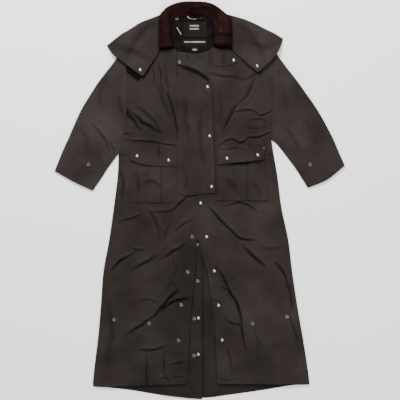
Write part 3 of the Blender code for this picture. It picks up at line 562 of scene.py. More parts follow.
def front_forms(x, y):
    """The top of the left front, and the tone of its creases: the loft, the creases and the crumple, held
    above the back by a soft floor, the root of their square and a small one."""
    bend, tone = creases(FRONT_CREASES, x, y)
    bend = (bend + 0.9 * crumple(x, y)) * (1 - smooth(y, 430, 480))
    loft = FRONT_LOFT + bend
    loft = 0.5 * (loft + np.sqrt(loft**2 + 2.0))
    closed = np.where(y < 150, smooth(inside_sides(x, y), 0.0, SIDE_ROLL), 1.0) ** 0.8
    left, right = x_on(OPENING_LEFT, y), x_on(OPENING_RIGHT, y)
    from_opening = np.where(x < 4, left - x, x - right)
    closed = closed * (1 - 0.7 * (1 - smooth(from_opening, -4, 30)) * (1 - smooth(y, -190, -132)))
    # The skirt darkens towards its opening edges below the waist; the tone is also a little lighter low on
    # the right skirt and darker on the upper left chest.
    darker_near_opening = np.where(x < 4, 0.16 * smooth(x - left, -95, -10), 0.05 * smooth(right - x, -70, 0))
    tone = tone - darker_near_opening * (1 - smooth(y, -170, -90)) + 0.06 * smooth(x, 40, 120) * smooth(-y, 150, 220)
    tone = tone - 0.07 * smooth(-x, 70, 110) * smooth(y, 180, 240)
    armhole = np.minimum(np.abs(x + 243), np.abs(x - 240)) + 1e3 * (y < 210)
    seam = 1.3 * bell(armhole, 4)
    # Painted shade along those lines.
    for line, width, depth in PAINTED_SHADE_LINES:
        tone = tone - depth * beside(x, y, line, width)
    return cape_lift(x, y) + vent_lift(x, y) + LAYER + loft * closed - seam + CLOTH, tone


def top_of(forms, *given):
    """The height alone of a surface whose function gives height and tone."""
    return lambda x, y: forms(*given, x, y)[0]


left_top = top_of(front_forms)


def closure_lift(x, y):
    """The right front rises by one layer where it laps over the left one."""
    return LAYER * (1 - smooth(x + 0 * y, 40, 108))


FLY_RIM = [(-72, 444), (-45, 437), (-6, 421), (24, 401), (38, 384)]


def above_fly(x, y):
    """How far above the free top edge of the fly a point is."""
    return y - y_on(FLY_RIM, x)


def right_top(x, y):
    """The height of the right front's upper face. Its neck corner has slipped out over the fly's top edge,
    and stands up along it in a rolled ridge."""
    over = above_fly(x, y)
    ridge = 9.0 * smooth(over, 4.5, 10) * bell(np.maximum(over - 10, 0), 17)
    return left_top(x, y) + closure_lift(x, y) + ridge * smooth(-x, -46, -10) * smooth(x, -62, -36)


front_left_hem = path([(-351, -614), (-320, -616), (-296, -615), (-197, -611), (-50, -606)], [(-41, -603)])
front_left_opening = path(OPENING_LEFT)
x, y = patch(
    front_left_hem,
    path([(-240, 514), (-104, 584)]),
    path([(-351, -614)], LEFT_SIDE, LEFT_ARMHOLE, [(-240, 514)]),
    path(
        front_left_opening,
        *([corner] for corner in [(14, -88), (14, -8), (-3.6, 31), (-3.6, 384), (-75, 408)]),
        [(-75, 493), (-90, 512), (-100, 543), (-104, 584)],
    ),
    FINE,
)
top, tone = front_forms(x, y)
# Painted light beside the fly's seam lightens the shadow of the step there.
tone = tone + 0.25 * beside(x, y, FLY_SEAM, 3.5)
seam_rise = 1.2 * smooth(x, -118, -78) * (x < -75) * smooth(y, 192, 222) * (1 - smooth(y, 470, 500))
cloth("front_left_panel", "front_left", x, y, top + seam_rise, tone)

front_right_hem = path([(58, -606), (165, -606), (281, -608), (340, -608), (361, -607)])
front_right_opening = path(OPENING_RIGHT)
front_right_neckline = path([(-73.6, 492), (-45, 488), (-9, 485), (27, 495), (50, 513), (70, 543), (75, 584)])
x, y = patch(
    front_right_hem,
    path(front_right_neckline, [(230, 514)]),
    path(
        front_right_opening,
        *([corner] for corner in [(-4.5, 24), (-2.6, 31), (-2.6, 384), (-73.6, 408), (-73.6, 492)]),
    ),
    path([(361, -607)], RIGHT_SIDE, RIGHT_ARMHOLE, [(230, 514)]),
    FINE,
)
top, tone = front_forms(x, y)
over = above_fly(x, y)
# Painted highlight on the neck corner's ridge, painted shade just above the fly's top edge, and painted light
# beside the fly's seam that lightens the shadow of its step.
painted_light = 0.3 * bell(over - 11, 5) * smooth(-x, -40, 10)
shaded = 0.9 * bell(over - 1, 5, 4)
tone = tone + ((painted_light - shaded) * smooth(-x, -40, -20) + 0.25 * beside(x, y, FLY_SEAM, 3.5))
cloth("front_right_panel", "front_right", x, y, right_top(x, y), tone)
sew(
    "front_left_stitching",
    [inset(front_left_hem, 16), inset(front_left_opening, 5), inset(front_left_opening, 44)],
    left_top,
)
sew(
    "front_right_stitching",
    [
        inset(front_right_hem, 16),
        inset(front_right_opening, -5),
        inset(front_right_opening, -44),
        inset(front_right_neckline, -5),
    ],
    right_top,
)

# The fly is a strip of the same cloth that covers the closed edges of the fronts. Its top is unbuttoned,
# under the right front's neck corner, and a short throat tab lies beside it below the collar.
FLY_CREASES = [
    ((-40, 330), (-44, 270), (-30, 200), 14, 2.6),
    ((10, 300), (4, 220), (14, 120), 14, 2.2),
    ((-52, 110), (-40, 70), (-46, 40), 11, 1.8),
]


def fly_forms(x, y):
    """The fly's upper face and tone: over both fronts, and dark at its top, which the neck corner shades."""
    bend, tone = creases(FLY_CREASES, x, y)
    top, under_tone = front_forms(x, y)
    shaded = 0.9 * bell(above_fly(x, y), 6.5, 4) * smooth(x, -76, -40) * smooth(-x, -40, -20)
    edges = beside(x, y, FLY_LEFT, 4) + beside(x, y, FLY_RIGHT, 5) + beside(x, y, FLY_FOOT, 4)
    laid = 1 - np.minimum(edges, 1)
    # Painted highlight along the fly's right edge, and painted light along its left edge that lightens the
    # shadow of its step.
    tone = tone + 0.2 * beside(x, y, shift(FLY_RIGHT, -6), 3.5) + 0.25 * beside(x, y, FLY_LEFT, 3.5)
    lap = closure_lift(x, y) * np.maximum(0.35 + 0.65 * smooth(x, -74, -30), smooth(y, 340, 375))
    return top + lap + LAYER + np.maximum(0, bend), 0.6 * under_tone * laid + tone - shaded


fly_top = top_of(fly_forms)
fly_foot, fly_rim, fly_left, fly_right = (path(line) for line in (FLY_FOOT, FLY_RIM, FLY_LEFT, FLY_RIGHT))
x, y = patch(fly_foot, fly_rim, fly_left, fly_right, FINE)
cloth("fly_strip", "fly", x, y, *fly_forms(x, y))


def tab_top(x, y):
    """The throat tab's upper face, curling up a little at its point."""
    return right_top(x, y) + LAYER + 2.5 * smooth(x, 80, 130)


tab_foot = path([(48, 444), (80, 442), (110, 450), (128, 459)])
tab_head = path([(46, 488)], [(98, 488)], [(121, 470)])
x, y = patch(tab_foot, tab_head, path([(48, 444), (46, 488)]), path([(128, 459), (121, 470)]), 2.6)
cloth("throat_tab_strip", "throat_tab", x, y, tab_top(x, y), front_forms(x, y)[1])
sew("tab_stitching", [inset(tab_foot, 3), inset(tab_head, -3)], tab_top)
sew(
    "fly_stitching",
    [inset(fly_foot, 4), inset(fly_rim, -4), inset(fly_left, -3), inset(fly_right, 4), inset(fly_right, 28)],
    fly_top,
)

# The pockets are two large patch bags with an inverted pleat, each under a flap that is cut a little wider.
# The right flap stands open over its bag.
PocketRow = namedtuple("PocketRow", "side top bag_foot bag_head flap_foot flap_head pleats gape shade")
PLEAT = 1.4
POCKETS = [
    PocketRow(
        side="left",
        top=left_top,
        bag_foot=[(-231, -8), (-70, -8)],
        bag_head=[(-228, 160), (-74, 160)],
        flap_foot=[(-230, 132), (-180, 118), (-110, 113), (-71.5, 112)],
        flap_head=[(-232, 186), (-130, 186), (-74, 174)],
        pleats=(-177, -128),
        gape=(-190, 118, 2.5),
        shade=(0.6, 4.0),
    ),
    PocketRow(
        side="right",
        top=right_top,
        bag_foot=[(56, 0), (224, 0)],
        bag_head=[(60, 160), (214, 160)],
        flap_foot=[(58, 119), (106, 124), (156, 128), (212, 135)],
        flap_head=[(59, 178), (140, 183), (217, 178)],
        pleats=(112, 156),
        gape=(143, 124, 7.0),
        shade=(1.0, 9.0),
    ),
]
POCKET_CREASES = [
    ((-135, 190), (-133, 165), (-135, 138), 6, 3.0),
    ((96, 176), (122, 172), (150, 169), 5, 2.0),
    ((-184, 50), (-158, 66), (-126, 44), 9, 3.0),
    ((-214, 96), (-200, 60), (-206, 20), 12, 2.0),
    ((80, 70), (110, 54), (130, 20), 12, 2.0),
    ((176, 60), (196, 40), (204, 10), 12, 2.0),
]


def bag_forms(row, x, y):
    """A bag's upper face and tone: it swells between its sewn edges and steps up at its pleat's folds."""
    (left, foot), (right, foot) = row.bag_foot
    inside = np.minimum(np.minimum(x - left, right - x), y - foot + 10)
    swell = 2.2 * smooth(inside, 0, 38)
    up, down = (smooth(x, at, at + 3) for at in row.pleats)
    fold = PLEAT * smooth(inside, 4, 14) * (up - down)
    bend, tone = creases(POCKET_CREASES, x, y)
    # Painted shade along the pleat's fold lines.
    lines = sum(depth * bell(x - at - 1, 3.5) for at, depth in zip(row.pleats, (0.1, 0.25)))
    top = row.top(x, y) + LAYER + swell + fold + np.maximum(0, bend)
    return top, tone - lines * smooth(inside, 2, 8)


def flap_top(row, x, y):
    """A flap's upper face: over the bag, with its foot lifted where it gapes."""
    at_x, at_y, lift = row.gape
    near = np.exp(-(((x - at_x) / 55) ** 2) - ((y - at_y) / 26) ** 2)
    return bag_forms(row, x, y)[0] + LAYER + lift * near + 0.6


def straight_sided(foot, head):
    """A sheet's foot and head, and the straight sides between their ends."""
    return path(foot), path(head), path([foot[0], head[0]]), path([foot[-1], head[-1]])


for row in POCKETS:
    foot, head, left, right = straight_sided(row.bag_foot, row.bag_head)
    x, y = patch(foot, head, left, right, FINE)
    top, tone = bag_forms(row, x, y)
    gaping = 0.25 + 0.75 * bell(x - row.gape[0], 48)
    shade = row.shade[0] * gaping * beside(x, y, row.flap_foot, row.shade[1])
    cloth(f"pocket_{row.side}_bag", f"pocket_{row.side}", x, y, top, tone - shade)
    lines = [inset(foot, 3), inset(left, -3), inset(right, 3)]
    sew(f"pocket_{row.side}_stitching", lines, top_of(bag_forms, row))
    foot, head, left, right = straight_sided(row.flap_foot, row.flap_head)
    x, y = patch(foot, head, left, right, 3.2)
    tone = creases(POCKET_CREASES, x, y)[1]
    cloth(f"flap_{row.side}", f"pocket_flap_{row.side}", x, y, flap_top(row, x, y), tone)
    lines = [inset(foot, 4), inset(head, -4), inset(left, -4), inset(right, 4)]
    sew(f"flap_{row.side}_stitching", lines, lambda x, y, row=row: flap_top(row, x, y))

# The sleeves are flattened tubes, sewn to the body at the armholes and open at the cuffs. Each is one ring
# after another, a wide flat oval whose sides roll over in a half circle.
SleeveRow = namedtuple("SleeveRow", "side armhole outer inner cuff bow tone")
# Each row's tone lifts its sleeve's colour as painted light, the left sleeve more than the right.
SLEEVES = [
    SleeveRow(
        side="left",
        armhole=LEFT_ARMHOLE,
        outer=[(-248, 507), (-290, 448), (-330, 397), (-364, 345)]
        + [(-395, 292), (-430, 213), (-454, 160), (-479, 97)],
        inner=[(-268, 156), (-283, 134), (-303, 107), (-328, 68), (-353, 32)],
        cuff=[(-353, 32), (-418, 62), (-479, 97)],
        bow=-1,
        tone=0.20,
    ),
    SleeveRow(
        side="right",
        armhole=RIGHT_ARMHOLE,
        outer=[(238, 507), (280, 448), (320, 397), (357, 345)]
        + [(393, 292), (436, 213), (459, 160), (479, 115)],
        inner=[(236, 200), (254, 186), (285, 147), (315, 107), (340, 68), (357, 41)],
        cuff=[(357, 41), (422, 69), (479, 115)],
        bow=1,
        tone=0.11,
    ),
]
SLEEVE_CREASES = [
    ((-318, 384), (-328, 348), (-326, 312), 9, 2.2),
    ((-352, 250), (-322, 214), (-296, 166), 8, 3.0),
    ((-300, 200), (-286, 178), (-282, 150), 6, 2.6),
    ((-398, 250), (-372, 200), (-372, 160), 18, 1.4),
    ((-262, 360), (-262, 320), (-250, 284), 9, 3.0),
    ((276, 250), (312, 206), (330, 160), 12, 1.8),
    ((262, 400), (286, 340), (284, 280), 14, 1.4),
    ((340, 280), (372, 220), (388, 160), 18, 1.2),
]


def sleeve_top(x, y):
    """The upper face of both sleeves: level with the body at the armhole, and lower towards the cuff."""
    bend, _ = creases(SLEEVE_CREASES, x, y)
    own = cape_lift(x, y) + 6.4 + bend + 0.8 * crumple(x, y)
    away = np.minimum(np.abs(x + 246), np.abs(x - 240))
    blend = smooth(away, 0, 60)
    joined = cape_lift(x, y) + LAYER + FRONT_LOFT + CLOTH - 0.6
    dip = 1.5 * bell(away, 4)
    return (1 - blend) * joined + blend * np.maximum(own, cape_lift(x, y) + 4.2) - dip


def tube(rings, sides):
    """The quads of a tube, ring after ring, and the two faces that close its ends."""
    index = np.arange(rings * sides).reshape(rings, sides)
    after = np.roll(index, -1, axis=1)
    quads = np.stack([index[:-1], after[:-1], after[1:], index[1:]], -1).reshape(-1, 4)
    return [quads, index[:1, ::-1], index[-1:]]


for row in SLEEVES:
    lines = [curve(row.armhole), curve(row.cuff), curve(row.inner), curve(row.outer)]
    x, y = patch(*lines, 4.2)
    chord = np.hypot(x[:, -1] - x[:, 0], y[:, -1] - y[:, 0])[:, None]
    shares = spread(max(reach(lines[0])[-1], reach(lines[1])[-1]), 4.2)[None, :]
    away = np.minimum(shares, 1 - shares) * chord
    top, rest = sleeve_top(x, y), 0.3 + cape_lift(x, y - 30)
    radius = (top - rest) / 2
    bulge = np.sqrt(1 - (1 - np.clip(away / radius, 0, 1)) ** 2)
    middle = (top + rest) / 2
    tone = row.tone + creases(SLEEVE_CREASES, x, y)[1]
    # Painted shade on the sleeves beside the cape's edges.
    for line in (CAPE_LEFT_EDGE, CAPE_RIGHT_EDGE):
        tone = tone - 0.5 * beside(x, y, line, 5)
    over, under = middle + radius * bulge, middle - radius * bulge
    ring_x, ring_y = (np.concatenate([g, g[:, -2:0:-1]], axis=1) for g in (x, y))
    ring_z = np.concatenate([over, under[:, -2:0:-1]], axis=1)
    tones = np.concatenate([tone, 0 * tone[:, -2:0:-1]], axis=1)
    points = np.stack([ring_x, ring_y, ring_z], -1).reshape(-1, 3)
    tones = np.clip(1 + tones, 0.3, 1.5).ravel()
    quads = tube(*ring_x.shape)[0][:, :: -row.bow]
    made = piece(f"sleeve_{row.side}_tube", points, [quads], waxed, tones)
    solid = made.modifiers.new("wall", "SOLIDIFY")
    solid.thickness = 0.0013
    solid.offset = -1.0
    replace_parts(made, f"sleeve_{row.side}")
    sew(f"sleeve_{row.side}_stitching", [inset(lines[1], 14 * row.bow)], sleeve_top)

# The cape hangs over the shoulders to the upper arm. Its back lies on the floor under the coat, and its two
# fronts fold over the shoulders, with free curved edges, each sewn twice round and studded at the corner.
CAPE_LOFT = 10.0
CAPE_TIPS = [(-307, 511), (275, 534)]
CAPE_LEFT_FOLD = [(-307, 511), (-263, 546), (-230, 566), (-197, 587), (-164, 600), (-131, 613)]
CAPE_RIGHT_FOLD = [(275, 534), (248, 551), (215, 567), (182, 584), (149, 598), (115, 608), (90, 615)]
COLLAR_EDGES = [[(-133, 496), (-133, 562), (-131, 610)], [(106, 499), (105, 562), (102, 604)]]
CAPE_CREASES = [
    ((-150, 585), (-205, 530), (-236, 470), 22, 2.2),
    ((-280, 510), (-230, 500), (-170, 470), 20, 1.8),
    ((134, 588), (186, 530), (214, 470), 22, 2.2),
    ((150, 540), (190, 512), (240, 516), 18, 1.6),
]


def cape_forms(x, y):
    """The cape's upper face and tone. It rolls up from the shoulder fold as a quarter circle, stands higher
    at its front corners, lies down at its outer tips, and keeps clear of what it covers."""
    fold = y_on([*CAPE_LEFT_FOLD, *CAPE_RIGHT_FOLD[::-1]], x)
    from_tip = np.minimum(*(np.hypot(x - tip[0], y - tip[1]) for tip in CAPE_TIPS))
    rolled = np.sqrt(1 - (1 - np.clip((fold - y) / 30, 0, 1)) ** 2) * smooth(from_tip, 0, 44)
    left_corner = 7 * np.exp(-(((x + 196) / 60) ** 2) - ((y - 430) / 45) ** 2)
    right_corner = 5 * np.exp(-(((x - 190) / 60) ** 2) - ((y - 445) / 45) ** 2)
    bend, tone = creases(CAPE_CREASES, x, y)
    flare = 4.5 * bell(y - y_on([*CAPE_LEFT_EDGE, *CAPE_RIGHT_EDGE], x), 34)
    loft = CAPE_LOFT + left_corner + right_corner + flare + bend + 0.7 * crumple(x, y)
    free = LAYER + rolled * loft + CLOTH
    covered = np.maximum(left_top(x, y) + closure_lift(x, y), sleeve_top(x, y)) + 0.6 + CLOTH
    tone = tone - 0.07 + 0.08 * (x > 0)
    # Painted shade on the cape along the collar's edges.
    for line in COLLAR_EDGES:
        tone = tone - 0.6 * beside(x, y, line, 5)
    return np.where((fold - y > 14) & (from_tip > 40), np.maximum(free, covered), free), tone


cape_top = top_of(cape_forms)
low_x = np.linspace(-228, 228, 40)
back_edge = np.stack([low_x, cape_back_edge(low_x)], -1)
x, y = patch(
    back_edge,
    path([(-131, 608), (-80, 606), (0, 604), (50, 606), (88, 610)]),
    path(back_edge[:1], [(-303, 510), (-210, 573), (-131, 608)]),
    path(back_edge[-1:], [(271, 533), (182, 580), (88, 610)]),
    COARSE,
)
cloth("cape_back_panel", "cape_back", x, y, CLOTH + 0 * x, 0)
cape_left_edge, cape_left_front = path(CAPE_LEFT_EDGE), path(CAPE_LEFT_FRONT)
x, y = patch(
    cape_left_edge,
    path([(-131, 613), (-122, 602)]),
    path(CAPE_LEFT_FOLD),
    cape_left_front,
    3.8,
)
cloth("cape_left", "cape_front_left", x, y, *cape_forms(x, y))
cape_right_edge, cape_right_front = path(CAPE_RIGHT_EDGE), path(CAPE_RIGHT_FRONT)
x, y = patch(
    cape_right_edge,
    path([(86, 600), (90, 615)]),
    cape_right_front,
    path(CAPE_RIGHT_FOLD),
    3.8,
)
cloth("cape_right", "cape_front_right", x, y, *cape_forms(x, y))
hems = [(cape_left_edge, 1), (cape_left_front, 1), (cape_right_edge, 1), (cape_right_front, -1)]
sew("cape_stitching", [inset(line, side * far) for line, side in hems for far in (4, 10)], cape_top)

# The collar is a band of burgundy-brown corduroy, stiff enough to stand up from the neck seam, roll over and
# fall onto the cape. Its wales run from the neck seam over the roll to the outer edge.
COLLAR = 2.6
WALE_PITCH = 2.6
WALE = 0.45
CollarRow = namedtuple("CollarRow", "neck neck_z roll roll_z edge over_cape")
COLLAR_ROWS = [
    ((-84, 503), 11.0, (-102, 499), 24, (-132, 496), True),
    ((-91, 527), 11.0, (-107, 524), 29, (-133, 524), True),
    ((-95, 560), 11.0, (-110, 560), 31, (-133, 562), True),
    ((-91, 592), 10.0, (-111, 604), 30, (-131, 610), True),
    ((-80, 603), 8.5, (-106, 634), 26, (-114, 624), False),
    ((-50, 609), 7.5, (-62, 653), 22, (-57, 631), False),
    ((-4, 612), 7.5, (-8, 655), 20, (-7, 630), False),
    ((22, 609), 7.5, (32, 650), 22, (28, 629), False),
    ((40, 600), 8.5, (62, 631), 26, (68, 619), False),
    ((46, 583), 11.0, (72, 601), 30, (102, 604), True),
    ((48, 550), 12.5, (68, 556), 31, (105, 562), True),
    ((46, 522), 13.5, (66, 522), 29, (106, 524), True),
    ((46, 507), 13.5, (64, 502), 25, (106, 499), True),
]
COLLAR_CREASES = [
    ((50, 554), (76, 549), (104, 552), 9, 1.6),
    ((58, 610), (62, 580), (60, 552), 6, 2.4),
    ((-126, 560), (-112, 552), (-98, 556), 7, 1.6),
    ((-60, 640), (-10, 636), (40, 638), 7, 1.8),
]
stations = []
for row in map(CollarRow._make, COLLAR_ROWS):
    edge_x, edge_y = (np.array([float(v)]) for v in row.edge)
    edge_z = float(cape_top(edge_x, edge_y)[0]) + 2.0 + COLLAR / 2 if row.over_cape else 2.4
    stations.append([[*row.neck, row.neck_z], [*row.roll, row.roll_z], [*row.edge, edge_z]])
stations = np.array(stations, float)
rails = [curve(stations[:, k], 2.0) for k in range(3)]
long = reach(rails[1])[-1]
shares = np.linspace(0, 1, round(long / WALE_PITCH * 4) + 1)
neck, roll, edge = (at_shares(rail, shares)[None] for rail in rails)
t = np.linspace(0, 1, 27)[:, None, None]
middle = (1 - t) ** 2 * neck + 2 * t * (1 - t) * (2 * roll - (neck + edge) / 2) + t**2 * edge
to_right = (1 - shares[None]) * long + 0 * t[..., 0]
to_left = shares[None] * long + 0 * t[..., 0]
droop = 9 * (1 - smooth(to_right, 0, 24)) + 6 * (1 - smooth(to_left, 0, 14))
middle[..., 2] = np.maximum(middle[..., 2] - droop, np.minimum(middle[..., 2], 13))
on_cape = (middle[..., 0] < -116) | (middle[..., 0] > 82)
resting = cape_top(middle[..., 0], middle[..., 1]) + COLLAR / 2 + 0.8
middle[..., 2] = np.where(on_cape & (t[..., 0] > 0.5), np.maximum(middle[..., 2], resting), middle[..., 2])
slack, crease_painted_light = creases(COLLAR_CREASES, middle[..., 0], middle[..., 1])
normal = np.cross(np.gradient(middle, axis=1), np.gradient(middle, axis=0))
normal = normal / np.linalg.norm(normal, axis=-1, keepdims=True)
wale = WALE * np.abs(np.sin(np.pi * shares * long / WALE_PITCH))[None, :, None]
fade = smooth(np.minimum(t, 1 - t), 0, 0.04)
over = middle + normal * (COLLAR / 2 + wale * fade + slack[..., None] * fade)
under = middle - normal * COLLAR / 2
CORD_DARK, CORD_LIGHT = (0.0035, 0.0014, 0.0012), (0.0185, 0.0070, 0.0058)
corduroy = material("corduroy_burgundy", CORD_DARK, CORD_LIGHT, 0.85, gloss=0.03, patches=14)
points, faces = wall(under, over)
# The collar's tone is painted light: painted shade in the grooves between the wales, a lighter right leaf
# where more light falls, painted shade at both ends, and the creases' painted highlights and shade.
collar_painted_light = 0.62 + 0.38 * np.abs(np.sin(np.pi * shares * long / WALE_PITCH)) + 0 * t[..., 0]
collar_painted_light = collar_painted_light * (1 + 0.2 * smooth(middle[..., 0], 40, 60))
ends = 0.85 * (1 - smooth(to_right, 6, 24)) + 0.8 * (1 - smooth(to_left, 2, 16))
collar_painted_light = np.maximum(collar_painted_light * (1 - ends) + np.where(crease_painted_light > 0, 8.0, 0.5) * crease_painted_light, 0.06)
tone = np.concatenate([collar_painted_light.ravel(), np.ones(collar_painted_light.size)])
made = piece("collar_band", points, faces, corduroy, tone)
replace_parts(made, "collar")

# Inside the neck a yoke of black satin shows, with a slim metal bar, the little chain that hangs the coat on
# a peg, and three woven labels without words or marks: only plain pale stripes are woven into them.
NECK_CREASES = [
    ((-92, 590), (-70, 560), (-66, 520), 7, 2.0),
    ((-64, 606), (-55, 580), (-60, 548), 5, 1.8),
    ((-84, 604), (-74, 592), (-66, 588), 4, 1.6),
    ((-80, 566), (-74, 546), (-70, 530), 4, 1.6),
    ((-66, 540), (-60, 530), (-60, 512), 4, 1.4),
    ((32, 606), (38, 570), (30, 530), 6, 2.0),
    ((26, 590), (29, 560), (27, 540), 4, 1.4),
    ((-30, 537), (0, 538), (26, 535), 4, 1.2),
    ((-50, 503), (-40, 500), (-32, 503), 4, 1.4),
    ((4, 504), (14, 500), (26, 505), 4, 1.4),
]


def lining_top(x, y):
    """The satin's upper face, one layer above the backs, with small gathers."""
    return 4.6 + np.maximum(0, creases(NECK_CREASES, x, y)[0])


SATIN_DARK, SATIN_LIGHT = (0.0014, 0.0010, 0.0008), (0.0056, 0.0042, 0.0036)
satin = material("satin_black", SATIN_DARK, SATIN_LIGHT, 0.35, patches=30)
x, y = patch(
    path([(-74, 470), (50, 470)]),
    path([(-88, 602), (-60, 610), (0, 613), (44, 608), (66, 598)]),
    path([(-74, 470), (-102, 540), (-88, 602)]),
    path([(50, 470), (68, 540), (66, 598)]),
    3.0,
)
cloth("neck_satin", "neck_lining", x, y, lining_top(x, y), 0, satin, "lining", thickness=1.0)

Stripe = namedtuple("Stripe", "left right low high")
Label = namedtuple("Label", "name node left right low high stripes")
WOVEN = (0.0045, 0.0043, 0.0036), (0.0080, 0.0075, 0.0065)
PALE = 30.0
LARGE_STRIPES = [Stripe(-33, -3, 564, 569), Stripe(-33, -3, 574, 579)]
STRIP_STRIPES = [Stripe(-50, 17, 521, 525.5), Stripe(-50, 17, 512, 513.2)]
for row in [
    Label("label_large", "neck_label", -52, 22, 540, 590, LARGE_STRIPES),
    Label("label_strip", "strip_label", -56, 23, 508, 532, STRIP_STRIPES),
    Label("label_size", "size_tab", -28, -2, 491, 507, [Stripe(-24, -10, 496, 501)]),
]:
    woven = material(row.name + "_weave", *WOVEN, 0.6, patches=60, grain=0.3, grain_size=1500)
    foot, head = ([(row.left, y), (row.right, y)] for y in (row.low, row.high))
    x, y = patch(*straight_sided(foot, head), 1.0)
    inside = [(x > s.left) & (x < s.right) & (y > s.low) & (y < s.high) for s in row.stripes]
    tone = PALE * np.any(inside, axis=0)
    top = lining_top(x, y) + 1.1
    cloth(row.name, row.node, x, y, top, tone, woven, "woven_label", thickness=0.8, round_edge=0.2)

nickel = material("nickel", (0.24, 0.225, 0.21), (0.44, 0.42, 0.40), 0.3, patches=300, metallic=1.0)


def rounded_bar(start, end, radius, z, rings=13, sides=16):
    """A rod with domed ends: circles along a line, shrinking as a half sphere at each end."""
    start, end = np.array(start, float), np.array(end, float)
    run = (end - start) / math.dist(start, end)
    turn = np.linspace(-np.pi / 2, np.pi / 2, rings)
    off = np.where(turn < 0, 0, math.dist(start, end)) + radius * np.sin(turn)
    size = np.maximum(radius * np.cos(turn), 0.05)
    angle = 2 * np.pi * np.arange(sides) / sides
    side = np.array([-run[1], run[0]])
    flat = start + run * off[:, None, None] + side * (size[:, None] * np.cos(angle))[..., None]
    points = np.concatenate([flat, (z + size[:, None] * np.sin(angle))[..., None]], -1).reshape(-1, 3)
    return points, tube(rings, sides)


under_rod = lining_top(*np.meshgrid(np.linspace(-78, -59, 20), np.linspace(546, 573, 28))).max()
points, faces = rounded_bar((-75, 570), (-62, 549), 2.0, under_rod + 2.1)
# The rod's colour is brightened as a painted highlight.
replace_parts(piece("neck_rod", points, faces, nickel, 1.7), "neck_bar")

chain_line = curve([(-40, 608), (-34, 601), (-20, 598), (-4, 600), (14, 603)], 1.0)
LINKS, LINK_SIDES, WIRE_SIDES = 13, 20, 8
centre = at_shares(chain_line, (np.arange(LINKS) + 0.5) / LINKS)
run = np.gradient(centre, axis=0)
heading = np.arctan2(run[:, 1], run[:, 0])
angles = [2 * np.pi * np.arange(count) / count for count in (LINK_SIDES, WIRE_SIDES)]
ring, wire = np.meshgrid(*angles, indexing="ij")
long_way = (2.1 + 0.55 * np.cos(wire)) * np.cos(ring) * 1.35
wide_way = (1.5 + 0.55 * np.cos(wire)) * np.sin(ring)
high_way = 0.55 * np.sin(wire)
tilt = np.where(np.arange(LINKS) % 2, 0.9, -0.5)[:, None, None]
side = wide_way * np.cos(tilt) - high_way * np.sin(tilt)
rise = wide_way * np.sin(tilt) + high_way * np.cos(tilt)
cos, sin = np.cos(heading)[:, None, None], np.sin(heading)[:, None, None]
link_x = centre[:, 0, None, None] + long_way * cos - side * sin
link_y = centre[:, 1, None, None] + long_way * sin + side * cos
points = np.stack([link_x, link_y, 8.2 + rise], -1).reshape(-1, 3)
index = np.arange(ring.size).reshape(ring.shape)
onward, upward = np.roll(index, -1, axis=0), np.roll(index, -1, axis=1)
one = np.stack([index, onward, np.roll(onward, -1, axis=1), upward], -1).reshape(-1, 4)
faces = (np.arange(LINKS)[:, None, None] * ring.size + one).reshape(-1, 4)
# The links' tone paints a glint on the first links and shade on the rest.
polish = np.repeat(np.interp(np.arange(LINKS), [0, 1, 2, 6, 8], [2.0, 1.2, 0.6, 0.4, 0.06]), ring.size)
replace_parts(piece("hanger_links", points, [faces], nickel, polish), "hanger_chain")

# The fastenings are nickel press studs, clenched through the cloth: domed caps, the rings that they close on,
# and one small eyelet. Each is a turned profile, set square on the cloth under it.
# The last column of each profile is a tone a ring: a painted glint towards the top of the fitting and painted
# shade at its rim.
Profile = namedtuple("Profile", "radius height polish")
CAP = Profile(
    radius=[6.2, 6.25, 6.0, 5.5, 5.2, 4.6, 3.4, 2.0, 0.8],
    height=[0.0, 0.5, 0.95, 1.1, 1.0, 1.5, 2.1, 2.5, 2.65],
    polish=[0.05, 0.06, 0.12, 0.15, 0.12, 0.4, 1.0, 1.3, 1.3],
)
RING = Profile(
    radius=[6.2, 6.2, 5.8, 5.0, 4.3, 3.6, 2.9, 2.4, 2.1],
    height=[0.0, 0.5, 1.0, 1.15, 0.9, 1.2, 1.3, 1.0, 0.2],
    polish=[0.05, 0.06, 0.2, 0.35, 0.45, 0.6, 0.5, 0.08, 0.02],
)
EYELET = Profile([2.8, 2.8, 2.3, 1.8, 1.4], [0.0, 0.5, 1.0, 0.9, 0.2], [0.3, 0.6, 1.0, 0.5, 0.1])
Fitting = namedtuple("Fitting", "node x y top")
FLAP_TOPS = [lambda x, y, row=row: flap_top(row, x, y) for row in POCKETS]


def on(top, **places):
    """The fittings on one surface, each named for its CAD node, with its place."""
    return [Fitting(node, x, y, top) for node, (x, y) in places.items()]


